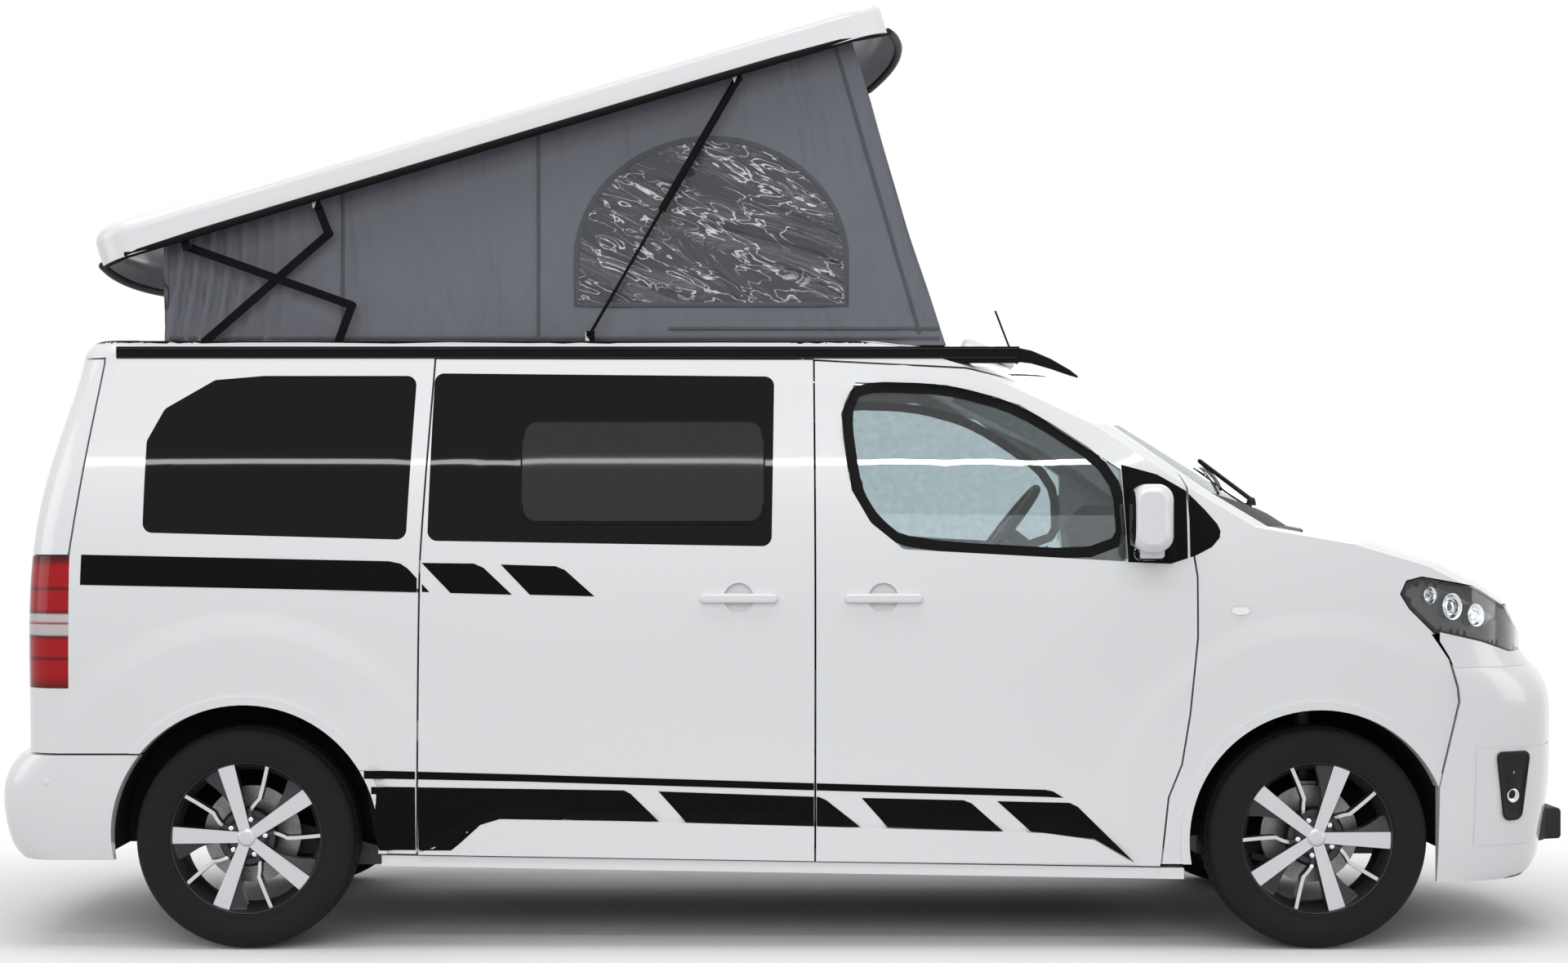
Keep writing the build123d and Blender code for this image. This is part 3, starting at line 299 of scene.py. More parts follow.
def addPiece(name, verts, faces, finish, body="body", smooth=False):
    mesh = bpy.data.meshes.new(name)
    mesh.from_pydata([tuple(v) for v in verts], [], faces)
    mesh.materials.append(look[finish])
    mesh.update()
    piece = addObject(name, mesh)
    if smooth:
        for polygon in mesh.polygons:
            polygon.use_smooth = True
    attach(piece, body)
    return piece


# the faces between lines of points that follow one another: a ring joins the last line to the first,
# a tube joins each line's last point to its first, and flip turns the faces over
def weave(lines, size, ring=False, tube=False, flip=False):
    faces = []
    for line in range(lines if ring else lines - 1):
        here, there = line * size, (line + 1) % lines * size
        for step in range(size if tube else size - 1):
            along = (step + 1) % size
            face = (here + step, here + along, there + along, there + step)
            faces.append((face[0], face[3], face[2], face[1]) if flip else face)
    return faces


def addGrid(name, grid, finish, smooth=True, **joins):
    verts = [point for line in grid for point in line]
    return addPiece(name, verts, weave(len(grid), len(grid[0]), **joins), finish, "body", smooth)


# a closed bar through sections, each a ring of points
def addBar(name, sections, finish, body="body"):
    size = len(sections[0])
    verts = [point for section in sections for point in section]
    faces = weave(len(sections), size, tube=True)
    faces += [tuple(range(size)), tuple(reversed(range(len(verts) - size, len(verts))))]
    return addPiece(name, verts, faces, finish, body)


def addTube(name, points, radius, finish, body="body", closed=False):
    curve = bpy.data.curves.new(name, "CURVE")
    curve.dimensions = "3D"
    curve.bevel_depth = radius
    curve.bevel_resolution = 3
    curve.use_fill_caps = True
    line = curve.splines.new("POLY")
    line.points.add(len(points) - 1)
    for target, point in zip(line.points, points):
        target.co = (*point, 1)
    line.use_cyclic_u = closed
    curve.materials.append(look[finish])
    piece = addObject(name, curve)
    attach(piece, body)
    return piece


# a profile of (radius, height) pairs turned about an axis
def addTurned(name, profile, centre, axis, finish, body="body", steps=32):
    turn = Vector((0, 0, 1)).rotation_difference(Vector(axis))
    verts = []
    for step in range(steps):
        angle = 2 * pi * step / steps
        for radius, height in profile:
            local = Vector((radius * cos(angle), radius * sin(angle), height))
            verts.append(turn @ local + Vector(centre))
    return addPiece(name, verts, weave(steps, len(profile), ring=True, flip=True), finish, body, smooth=True)


trees = {}


def treeFrom(verts, polygons):
    return BVHTree.FromPolygons(verts, [tuple(p.vertices) for p in polygons])


def treeOf(nodeName):
    if nodeName not in trees:
        node = nodes[nodeName]
        place = node.matrix_world
        trees[nodeName] = treeFrom([place @ v.co for v in node.data.vertices], node.data.polygons)
    return trees[nodeName]


def strike(nodeName, start, direction, far):
    return treeOf(nodeName).ray_cast(Vector(start), Vector(direction), far)[0]


# rays at a panel start beside the van and reach inwards; what they find inside it doesn't count
probe = dict(start=1.4, reach=1.2, inside=0.5, panel=0.95, groove=0.0035, above=2.5, fall=2.0,
             screenFoot=1.1, behind=-3.2, forward=1.4)


# the spot on a panel's outer side at x and z, lifted off it; with a spread it bridges narrow grooves
def onto(nodeName, x, z, side, lift, start=probe["start"], spread=0.0):
    tree = treeOf(nodeName)
    inward = Vector((0, -side, 0))
    origin = Vector((x, side * start, z))
    hit, normal, face, far = tree.ray_cast(origin, inward, probe["reach"])
    if hit is None or abs(hit.y) < probe["inside"]:
        hit = tree.find_nearest(Vector((x, side * probe["panel"], z)))[0]
        return Vector((x, hit.y + side * lift, z))
    if normal.y * side < 0:
        normal = -normal
    around = [tree.ray_cast(origin + Vector((a * spread, 0, b * spread)), inward, probe["reach"])[0]
              for a in (-1, 0, 1) for b in (-1, 0, 1) if spread]
    levels = [abs(point.y) for point in around if point]
    if levels and max(levels) > abs(hit.y) + probe["groove"]:
        return Vector((x, side * (max(levels) + lift), z))
    return hit + normal * lift


def roundOff(points, turns=2, keep=0.2):
    for turn in range(turns):
        smoother = []
        for index, point in enumerate(points):
            following = points[(index + 1) % len(points)]
            smoother.append(tuple(a + (b - a) * keep for a, b in zip(point, following)))
            smoother.append(tuple(b + (a - b) * keep for a, b in zip(point, following)))
        points = smoother
    return points


def boxAround(x, z, halfX, halfZ):
    return [(x - halfX, z - halfZ), (x + halfX, z - halfZ), (x + halfX, z + halfZ), (x - halfX, z + halfZ)]


def roundedBox(low, high, radius, arcs=6):
    points = []
    rear, front, foot, top = low[0] + radius, high[0] - radius, low[1] + radius, high[1] - radius
    for first, x, z in ((0, front, top), (90, rear, top), (180, rear, foot), (270, front, foot)):
        for step in range(arcs + 1):
            angle = radians(first + 90 * step / arcs)
            points.append((x + radius * cos(angle), z + radius * sin(angle)))
    return points


def cutAlong(work, place, direction, clear=False):
    bmesh.ops.bisect_plane(work, geom=work.verts[:] + work.edges[:] + work.faces[:], plane_co=place,
                           plane_no=direction, clear_outer=clear)


# an outline in millimetres, cut into a fine grid and laid on a panel; limits trim it to rear and front edges
def addDecal(name, outline, nodeName, body, side, finish, lift=0.0008, grid=0.016, limits=(None, None),
             start=probe["start"], spread=0.0):
    work = bmesh.new()
    work.faces.new([work.verts.new((x * mm, 0, z * mm)) for x, z in outline])
    for edge, outward in zip(limits, (-1, 1)):
        if edge is not None:
            cutAlong(work, (edge * mm, 0, 0), (outward, 0, 0), clear=True)
    for axis, direction in ((0, (1, 0, 0)), (2, (0, 0, 1))):
        low = min(v.co[axis] for v in work.verts)
        high = max(v.co[axis] for v in work.verts)
        for step in range(1, int((high - low) / grid) + 1):
            place = [0, 0, 0]
            place[axis] = low + step * grid
            cutAlong(work, place, direction)
    bmesh.ops.triangulate(work, faces=work.faces[:])
    work.verts.ensure_lookup_table()
    verts = [onto(nodeName, v.co.x, v.co.z, side, lift, start, spread) for v in work.verts]
    faces = [tuple(v.index for v in f.verts) for f in work.faces]
    work.free()
    return addPiece(name, verts, faces, finish, body, smooth=True)


# a band laid on a panel along an outline in millimetres
def addRing(name, outline, outward, inward, nodeName, body, side, finish, lift=0.001, turns=2):
    points = roundOff(outline, turns)
    count = len(points)
    area = sum(points[i][0] * points[(i + 1) % count][1] - points[(i + 1) % count][0] * points[i][1]
               for i in range(count))
    spin = 1 if area > 0 else -1
    rows = (outward, 0, -inward / 2, -inward)
    verts = []
    for index, point in enumerate(points):
        before, after = points[index - 1], points[(index + 1) % count]
        along = Vector((after[0] - before[0], after[1] - before[1])).normalized()
        normal = Vector((along.y, -along.x)) * spin
        for row in rows:
            x, z = point[0] + normal.x * row, point[1] + normal.y * row
            verts.append(onto(nodeName, x * mm, z * mm, side, lift))
    return addPiece(name, verts, weave(count, len(rows), ring=True), finish, body, smooth=True)


# stripes: outlines in millimetres along and up, and the panels that carry them, cut at their gaps
bodyOf = {"door_right": "right_door", "door_left": "left_door"}
leftPanel = {"sliding_door": "side_panels", "door_right": "door_left"}
toSlide, fromSlide = ("side_panels", None, -1156), ("sliding_door", -1148, None)
stripes = {
    "rearBand": ([(-2173, 1207), (-1236, 1187), (-1201, 1180), (-1178, 1165), (-1111, 1093), (-2175, 1115)],
                 [("side_panels", None, -1150), fromSlide]),
    "slantOne": ([(-1136, 1182), (-977, 1180), (-947, 1167), (-860, 1085), (-1047, 1090)],
                 [("sliding_door", None, None)]),
    "slantTwo": ([(-895, 1177), (-728, 1172), (-699, 1160), (-609, 1080), (-806, 1085)],
                 [("sliding_door", None, None)]),
    "thinLine": ([(-1325, 551), (-828, 538), (60, 511), (763, 491), (788, 486), (820, 466), (763, 469),
                  (60, 489), (-828, 516), (-1325, 526)],
                 [toSlide, ("sliding_door", -1148, 59), ("door_right", 67, None)]),
    "sillRear": ([(-1303, 501), (-520, 489), (-500, 479), (-413, 394), (-898, 402), (-957, 384),
                  (-1022, 325), (-1047, 305), (-1266, 305), (-1285, 384)], [toSlide, fromSlide]),
    "sillMiddle": ([(-415, 486), (75, 469), (97, 459), (201, 377), (-331, 392)],
                   [("sliding_door", None, 59), ("door_right", 67, None)]),
    "sillFront": ([(204, 466), (515, 459), (540, 449), (636, 364), (283, 377)], [("door_right", None, None)]),
    "sillTip": ([(617, 456), (838, 451), (863, 439), (1037, 268), (915, 341), (719, 364)],
                [("door_right", None, None)]),
    "mirrorCorner": ([(1001, 1482), (1110, 1452), (1193, 1404), (1252, 1345), (1290, 1300), (1299, 1279),
                      (1296, 1258), (1272, 1230), (1222, 1204), (1146, 1179), (1016, 1184)],
                     [("door_right", None, 1198), ("front_wings", 1205, None)]),
}
stripeGrid = 0.016
# rays for the corner behind the mirror start between the mirror's head and the panel
underMirror = 0.965
for stripeName, (outline, carriers) in stripes.items():
    start = underMirror if stripeName == "mirrorCorner" else probe["start"]
    for nodeName, low, high in carriers:
        for side, label in sides:
            name = f"{stripeName}_{nodeName}_{label.lower()}"
            carrier = nodeName if side < 0 else leftPanel.get(nodeName, nodeName)
            addDecal(name, outline, carrier, bodyOf.get(carrier, "body"), side, "blackFilm",
                     limits=(low, high), start=start, spread=stripeGrid)
print("stage: stripes")

# window surrounds and the opening panes
doorWindow = [(145, 1640), (175, 1404), (233, 1304), (333, 1223), (1015, 1186), (1000, 1467), (697, 1668),
              (471, 1730), (190, 1738)]
openingPane = roundedBox((-834, 1304), (-94, 1618), 46)
for side, hand in ((-1, "right"), (1, "left")):
    addRing(f"doorFrit_{hand}", doorWindow, 3, 30, f"door_glass_{hand}", f"{hand}_door", side, "sealRubber")
for side, label in sides:
    addDecal(f"openingPane{label}", openingPane, "fixed_glass", "body", side, "openingGlass", lift=0.003,
             grid=0.05)
for side, label in sides:
    addRing(f"openingSeal{label}", openingPane, 5, 5, "fixed_glass", "body", side, "sealRubber", lift=0.0036,
            turns=0)
print("stage: windows")

# tent cloth with broad folds, and the crinkled film of its windows with painted glints on it
cloth = dict(color=(0.175, 0.180, 0.202), detail=3, distortion=0.4, turn=-6, stretch=(0.8, 1, 3.0),
             strength=0.9, depth=0.06)
tape = dict(cloth, color=(0.10, 0.105, 0.115))
film = dict(color=(0.05, 0.052, 0.058), detail=6, distortion=1.6, turn=24, stretch=(3.4, 1, 1),
            strength=1.0, depth=0.05)
# painted glints: thin pale streaks in the film's base colour, in clusters, stand in for highlights on its
# crinkles
paintedGlint = dict(color=(0.80, 0.81, 0.83, 1), fine=26, patches=11, band=(0.485, 0.505, 0.53))


def makeFolded(name, color, detail, distortion, turn, stretch, strength, depth):
    material = makeFinish(name, color, 0.85, speckle=0.16, grain=1500, bump=0.35, specular=0.2)
    tree = material.node_tree
    place = addNode(tree, "TexCoord").outputs["Object"]
    pulled = addNode(tree, "Mapping", {"Vector": place, "Rotation": (0, radians(turn), 0),
                                       "Scale": stretch}, name="pulled", vector_type="TEXTURE")
    folds = addNode(tree, "TexNoise", {"Vector": pulled.outputs[0], "Scale": 5, "Detail": detail,
                                       "Distortion": distortion})
    crease = addNode(tree, "Bump", {"Height": folds.outputs["Fac"], "Strength": strength, "Distance": depth},
                     name="crease")
    feed(tree, tree.nodes["relief"], {"Normal": crease.outputs["Normal"]})
    return material


# paints the glints into the film's base colour: pale streaks where the patch noise is dense, in place of real
# highlights
def addPaintedGlints(material):
    tree = material.node_tree
    pulled = tree.nodes["pulled"].outputs[0]
    dark = (*film["color"], 1)
    sharp = addNode(tree, "TexNoise", {"Vector": pulled, "Scale": paintedGlint["fine"], "Detail": 2.5,
                                       "Distortion": 1.1})
    patches = addNode(tree, "TexNoise", {"Vector": pulled, "Scale": paintedGlint["patches"]})
    dense = addNode(tree, "MapRange", {"Value": patches.outputs["Fac"], "From Min": 0.40, "From Max": 0.50})
    lines = addRamp(tree, sharp.outputs["Fac"], list(zip(paintedGlint["band"], (dark, paintedGlint["color"], dark))))
    spots = addNode(tree, "Mix", {"Factor": dense.outputs["Result"], "A": dark, "B": lines}, data_type="RGBA")
    feed(tree, shaderOf(material), {"Base Color": spots.outputs["Result"], "Coat Weight": 1.0,
                                    "Coat Roughness": 0.04,
                                    "Coat Normal": tree.nodes["crease"].outputs["Normal"]})


look["tentCloth"] = makeFolded("tentCloth", **cloth)
look["tentWindow"] = makeFolded("tentWindow", **film)
look["tentTape"] = makeFolded("tentTape", **tape)
addPaintedGlints(look["tentWindow"])

tent = dict(footZ=1.862, rear=-1.978, front=0.483, half=0.640, lean=0.30668, ceilingSlope=0.29811,
            ceilingAtZero=2.8618, columns=210, rows=64, sideColumns=96, meanHeight=1.05)
pleats = dict(side=0.017, sideReach=0.46, sideWaves=125, rear=0.012, rearWaves=90, broad=0.010, sag=0.016,
              sagWaves=13, inset=0.002, swell=0.6)
pane = dict(low=1.988, flat=2.13, centre=-0.256, half=0.425, top=2.512)
tentWidth = tent["front"] - tent["rear"]


# share runs 0 to 4 round the four walls from the right rear corner, rise 0 to 1 from foot to ceiling
def tentPoint(share, rise):
    side = int(share) % 4
    along = share - int(share)
    across = -tent["half"] + along * 2 * tent["half"]
    x, y, outward = ((tent["rear"] + along * tentWidth, -tent["half"], (0, -1, 0)),
                     (tent["front"], across, (1, 0, 0.2)),
                     (tent["front"] - along * tentWidth, tent["half"], (0, 1, 0)),
                     (tent["rear"], -across, (-1, 0, 0)))[side]
    foot = Vector((x, y, tent["footZ"]))
    slope, lean = tent["ceilingSlope"], tent["lean"] * ((foot.x - tent["rear"]) / tentWidth)
    height = (tent["ceilingAtZero"] + slope * foot.x - tent["footZ"]) / (1 + slope * lean)
    top = Vector((foot.x - lean * height, foot.y, tent["footZ"] + height))
    point = foot.lerp(top, rise)
    swell = sin(pi * rise) ** pleats["swell"]
    rearShare = max(0.0, 1 - (point.x - tent["rear"]) / pleats["sideReach"])
    pleat = 0.0
    if side in (0, 2):
        pleat = pleats["side"] * rearShare ** 0.6
        pleat *= sin(point.x * pleats["sideWaves"] + 2.6 * sin(point.z * 8))
    if side == 3:
        pleat = pleats["rear"] * sin(point.y * pleats["rearWaves"] + 2 * sin(point.z * 9))
    broad = pleats["broad"] * noise.noise(Vector((point.x * 2.2, point.y * 2.2, point.z * 3.1)))
    sag = pleats["sag"] * sin(point.x * pleats["sagWaves"] + point.z * 3) * noise.noise(point * 1.3)
    return point + Vector(outward) * swell * (pleat + broad + sag - pleats["inset"])


def insideWindow(x, z):
    if not pane["low"] < z < pane["top"] or abs(x - pane["centre"]) > pane["half"]:
        return False
    if z < pane["flat"]:
        return True
    return ((x - pane["centre"]) / pane["half"]) ** 2 + (
        (z - pane["flat"]) / (pane["top"] - pane["flat"])) ** 2 < 1


columnsOf = (tent["columns"], tent["sideColumns"]) * 2
shares = [side + step / columnsOf[side] for side in range(4) for step in range(columnsOf[side])]
rows = tent["rows"]
canvas = addGrid("tentCloth", [[tentPoint(share, row / rows) for row in range(rows + 1)] for share in shares],
                 "tentCloth", ring=True, flip=True)
canvas.data.materials.append(look["tentWindow"])
for polygon in canvas.data.polygons:
    if abs(polygon.center.y) > 0.6 and insideWindow(polygon.center.x, polygon.center.z):
        polygon.material_index = 1
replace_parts(canvas, "tent_canvas")


# the spot on the cloth's side wall at x and z, lifted off it
def tentSurface(x, z, side, lift):
    slope = tent["ceilingSlope"]
    foot = x
    for turn in range(4):
        reach = (foot - tent["rear"]) / tentWidth
        foot = x + tent["lean"] * reach * (z - tent["footZ"])
    height = (tent["ceilingAtZero"] + slope * foot - tent["footZ"]) / (1 + slope * tent["lean"] * reach)
    along = (foot - tent["rear"]) / tentWidth
    point = tentPoint(along if side < 0 else 3 - along - 1e-6, (z - tent["footZ"]) / height)
    return Vector((point.x, point.y + side * lift, point.z))


def addBand(name, line, side, width, closed=False, lift=0.0025):
    count = len(line)
    grid = []
    for index, (x, z) in enumerate(line):
        before = line[index - 1] if closed or index else line[0]
        after = line[(index + 1) % count] if closed or index < count - 1 else line[-1]
        along = Vector((after[0] - before[0], after[1] - before[1])).normalized()
        across = Vector((-along.y, along.x)) * width / 2
        grid.append([tentSurface(x + across.x * share, z + across.y * share, side, lift * (0.2 + rise))
                     for share, rise in ((-1, 0), (-0.6, 1), (0.6, 1), (1, 0))])
    return addGrid(name, grid, "tentTape", ring=closed, flip=True)


def stepsBetween(start, end, count):
    return [tuple(a + (b - a) * step / count for a, b in zip(start, end)) for step in range(count + 1)]


seams = {
    "seamRear": ((-1.416, 1.87), (-1.416, 2.42)),
    "seamMiddle": ((-0.80, 1.87), (-0.80, 2.60)),
    "hem": ((-1.96, 1.884), (0.46, 1.884)),
    "hemUpper": ((-0.39, 1.914), (0.46, 1.914)),
    "seamFront": ((0.40, 1.90), (0.135, 2.80)),
}
tapeWidth = dict(window=0.018, seam=0.012)
windowLine = [(pane["centre"] - pane["half"] + 2 * pane["half"] * step / 8, pane["low"]) for step in range(9)]
for angle in range(0, 181, 6):
    windowLine.append((pane["centre"] + pane["half"] * cos(radians(angle)),
                       pane["flat"] + (pane["top"] - pane["flat"]) * sin(radians(angle))))
trims = []
for side, label in sides:
    trims.append(addBand(f"windowTape{label}", windowLine, side, tapeWidth["window"], closed=True))
    for seam, (start, end) in seams.items():
        trims.append(addBand(f"{seam}{label}", stepsBetween(start, end, 30), side, tapeWidth["seam"]))
for piece in [canvas] + trims:
    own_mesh(piece)
print("stage: tent")

# tyres: the sidewall as (radius, distance from the middle), then the tread's rows across
tyre = dict(steps=240, radius=0.340, half=0.088, crown=0.012, treadDepth=0.007, sipeDepth=0.004, pitch=4)
tyreSide = [(0.2325, 0.1040), (0.238, 0.1085), (0.244, 0.1065), (0.256, 0.1090), (0.262, 0.1110),
            (0.285, 0.1122), (0.300, 0.1118), (0.306, 0.1098), (0.318, 0.1075), (0.3275, 0.1015),
            (0.334, 0.0930)]
treadRows = [0.0880, 0.0790, 0.0700, 0.0640, 0.0620, 0.0540, 0.0520, 0.0400, 0.0260, 0.0200, 0.0180, 0.0100,
             0.0080, 0.0]
grooves = ((0.0620, 0.0540), (0.0180, 0.0100))


def treadRadius(across, step):
    radius = tyre["radius"] - tyre["crown"] * (abs(across) / tyre["half"]) ** 4
    for outerEdge, innerEdge in grooves:
        if innerEdge - 0.0001 <= abs(across) <= outerEdge + 0.0001:
            return radius - tyre["treadDepth"]
    if abs(across) > 0.064 and step % tyre["pitch"] == 0:
        return radius - tyre["sipeDepth"]
    if 0.02 < abs(across) < 0.05 and (step + 2) % tyre["pitch"] == 0:
        return radius - tyre["sipeDepth"]
    return radius


def addTyre(name, axle, side, body):
    section = tyreSide + [(None, a) for a in treadRows]
    section += [(None, -a) for a in reversed(treadRows[:-1])] + [(r, -a) for r, a in reversed(tyreSide)]
    size, wall = len(section), len(tyreSide)
    verts = []
    for step in range(tyre["steps"]):
        angle = 2 * pi * step / tyre["steps"]
        for radius, across in section:
            reach = radius if radius else treadRadius(across, step)
            verts.append((axle[0] + reach * cos(angle), side * wheelMiddle + across,
                          axle[1] + reach * sin(angle)))
    piece = addPiece(name, verts, weave(tyre["steps"], size, ring=True, tube=True), "tyreRubber", body)
    for polygon in piece.data.polygons:
        polygon.use_smooth = polygon.index % size < wall - 1 or polygon.index % size > size - 1 - wall
    return piece


# wheel face in millimetres from the wheel's middle: broad spokes, kinked ribs and open pockets between them;
# parts is how many steps each of the eleven stretches from spoke to spoke is cut into
wheel = dict(spokes=5, rootWidth=34, tipWidth=52, ribWidth=11, flank=13, hub=84, pocket=93, pocketEnd=207,
             lip=226, lipEdge=231, face=82, floor=40, hubFloor=62, bevel=0.35, kink=125,
             parts=(2, 1, 3, 1, 5, 1, 1, 1, 5, 1, 2),
             rows=(26, 40, 54, 68, 78, 84, 93, 103, 113, 125, 140, 156, 172, 190, 207, 216, 222, 226, 231,
                   232))
wheelTurn = {"front": 70, "rear": 34}
spokePitch = 360 // wheel["spokes"]
barrel = [(0.232, 0.089), (0.232, 0.100), (0.229, 0.0975), (0.226, 0.088), (0.214, 0.060), (0.210, -0.060),
          (0.222, -0.098), (0.232, -0.104), (0.232, -0.060)]
wheelCap = [(0.0, 0.0885), (0.014, 0.088), (0.022, 0.0865), (0.0265, 0.084), (0.0285, 0.080), (0.0285, 0.070)]
nut = dict(turn=44, circle=0.056, depth=0.8795, profile=[(0.0, 0.021), (0.0055, 0.0205), (0.0100, 0.017),
                                                         (0.0112, 0.013), (0.0112, 0.0)])


def halfAngle(width, radius):
    return degrees(asin(width / 2 / radius))


# a rib's turn from midway between two spokes, in degrees: nearly straight outside the kink, bent inside it
def ribBend(radius):
    if radius > wheel["kink"]:
        return 1.5 + 2.2 * (radius - wheel["kink"]) / 100
    return 1.5 + 10.5 * min(1, (wheel["kink"] - radius) / 41)


# one spoke's stretch of a row, as (angle, height) pairs
def wheelRow(radius):
    face = wheel["face"] + 7 * min(1, (radius - 29) / 200)
    share = (radius - 30) / 200
    halfSpoke = halfAngle(wheel["rootWidth"] + share * (wheel["tipWidth"] - wheel["rootWidth"]), radius)
    rib = spokePitch / 2 + ribBend(radius)
    halfRib = halfAngle(wheel["ribWidth"], radius)
    flank = wheel["flank"] * max(0, min(1, (radius - 108) / 100))
    floor = wheel["hubFloor"] if radius <= wheel["hub"] else wheel["floor"]
    if radius >= wheel["pocketEnd"]:
        floor = wheel["floor"] + 44 * min(1, (radius - wheel["pocketEnd"]) / 19)
    ribFace = face - 1 if radius > wheel["hub"] else face - 8
    if radius <= 54:
        floor = ribFace = face - 6
    if radius > wheel["lip"]:
        floor = ribFace = face
    edge = wheel["bevel"]
    last = spokePitch - halfSpoke - edge
    marks = [(0, face), (halfSpoke, face), (halfSpoke + edge, max(floor, face - 5)),
             (halfSpoke + edge + flank * 0.98 + 0.02, max(floor, face - 5 - flank)),
             (halfSpoke + edge + flank + edge, floor), (rib - halfRib - edge, floor),
             (rib - halfRib, max(floor, ribFace)), (rib + halfRib, max(floor, ribFace)),
             (rib + halfRib + edge, floor), (last, floor), (last + edge, face), (spokePitch, face)]
    line = []
    for (a, h), (b, k), steps in zip(marks, marks[1:], wheel["parts"]):
        line += [(a + (b - a) * step / steps, h + (k - h) * step / steps) for step in range(steps)]
    return line


def isBright(kind, radius):
    spoke, rib = kind in (0, 10), kind == 6 and radius >= wheel["hub"]
    return spoke or rib or (kind in (7, 8, 9) and radius >= wheel["lip"]) or radius >= wheel["lipEdge"]


def addWheelFace(name, axle, side, first, body):
    verts = []
    for radius in wheel["rows"]:
        for spoke in range(wheel["spokes"]):
            for offset, height in wheelRow(radius):
                angle = radians(first + spokePitch * spoke + offset)
                verts.append((axle[0] - side * radius * mm * cos(angle),
                              side * (wheelMiddle + height * mm), axle[1] + radius * mm * sin(angle)))
    kinds = [kind for kind, steps in enumerate(wheel["parts"]) for step in range(steps)]
    size = len(kinds) * wheel["spokes"]
    faces, bright = [], []
    for index, face in enumerate(weave(len(wheel["rows"]), size, tube=True)):
        kind, radius = kinds[index % len(kinds)], wheel["rows"][index // size]
        if kind not in (4, 8) or not wheel["pocket"] <= radius < wheel["pocketEnd"]:
            faces.append(face)
            bright.append(isBright(kind, radius))
    piece = addPiece(name, verts, faces, "alloyDark", body)
    piece.data.materials.append(look["alloyBright"])
    for polygon, shiny in zip(piece.data.polygons, bright):
        polygon.material_index = 1 if shiny else 0
    middle, axis = (axle[0], side * wheelMiddle, axle[1]), (0, side, 0)
    addTurned(f"{name}Barrel", barrel, middle, axis, "alloyDark", body, steps=96)
    addTurned(f"{name}Cap", wheelCap, middle, axis, "alloyBright", body, steps=48)
    return piece


for end in axleNames:
    for side, label in sides:
        place, tag = f"{end}_{label.lower()}", f"{end.title()}{label}"
        body = f"wheel_{place}"
        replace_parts(addWheelFace(f"rim{tag}", axles[end], side, wheelTurn[end], body), f"rim_{place}")
        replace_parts(addTyre(f"tyre{tag}", axles[end], side, body), f"tyre_{place}")
        for spoke in range(wheel["spokes"]):
            turn = wheelTurn[end] + nut["turn"] + spokePitch * spoke
            angle = radians(turn if side < 0 else 180 - turn)
            centre = (axles[end][0] + nut["circle"] * cos(angle), side * nut["depth"],
                      axles[end][1] + nut["circle"] * sin(angle))
            addTurned(f"nut{tag}{spoke + 1}", nut["profile"], centre, (0, side, 0), "chrome", body, steps=6)
print("stage: wheels")

# crowned seat cushions with seams across and piping round the edge
cushion = dict(cuts=13, sideRound=0.066, topRound=0.135, seamDepth=0.07, piping=0.02, fill=0.8)
seat = dict(y=0.42, plinth=[(0.0, 0.0), (0.24, 0.0), (0.245, 0.01), (0.20, 0.26), (0.19, 0.28), (0.0, 0.28)])


def addCushion(name, centre, size, lean, seams=3):
    shape = bmesh.new()
    bmesh.ops.create_cube(shape, size=1)
    bmesh.ops.subdivide_edges(shape, edges=shape.edges[:], cuts=cushion["cuts"], use_grid_fill=True)
    for vert in shape.verts:
        x, y, z = 2 * vert.co
        roundX = 1 - cushion["sideRound"] * (abs(y) ** 4 + abs(z) ** 4) / 2
        roundY = 1 - cushion["sideRound"] * (abs(x) ** 4 + abs(z) ** 4) / 2
        roundZ = 1 - cushion["topRound"] * (abs(x) ** 4 + abs(y) ** 4) / 2
        seam = 0.0
        if abs(z) > 0.9:
            for line in range(1, seams):
                seam += cushion["seamDepth"] * exp(-((y - (2 * line / seams - 1)) / 0.07) ** 2)
        nearEdge = 1 - abs(x) ** 5 < 0.4 or 1 - abs(y) ** 5 < 0.4
        piping = 1 + cushion["piping"] * exp(-((abs(z) - 1) / 0.15) ** 2) * nearEdge
        vert.co = Vector((x * roundX * piping, y * roundY * piping, z * (roundZ - seam))) * 0.5
    place = Matrix.Translation(Vector(centre)) @ Matrix.Rotation(radians(lean), 4, "Y")
    verts = [place @ Vector([c * full for c, full in zip(v.co, size)]) for v in shape.verts]
    faces = [tuple(v.index for v in f.verts) for f in shape.faces]
    shape.free()
    piece = addPiece(name, verts, faces, "seatCloth", "body", smooth=True)
    smoother = piece.modifiers.new("smooth", "SUBSURF")
    smoother.levels = smoother.render_levels = 1
    return piece


for side, label in sides:
    y = side * seat["y"]
    base = addCushion(f"seatCushion{label}", (0.43, y, 0.79), (0.52, 0.48, 0.14), lean=-6)
    if side < 0:
        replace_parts(base, "seats")
    addCushion(f"seatBack{label}", (0.135, y, 1.14), (0.62, 0.46, 0.13), lean=-84)
    addCushion(f"headRest{label}", (0.125, y, 1.57), (0.17, 0.24, 0.075), lean=-86, seams=1)
    addTurned(f"seatPlinth{label}", seat["plinth"], (0.42, y, 0.432), (0, 0, 1), "dashPlastic", steps=4)
    for shift, post in ((-0.05, "A"), (0.05, "B")):
        line = [(0.128, y + shift, 1.40), (0.125, y + shift, 1.52)]
        addTube(f"headPost{label}{post}", line, 0.006, "chrome")
addCushion("benchCushion", (-1.22, 0, 0.765), (0.54, 1.14, 0.16), lean=0, seams=4)
addCushion("benchBack", (-1.545, 0, 1.13), (0.60, 1.14, 0.13), lean=-88, seams=4)
print("stage: seats")

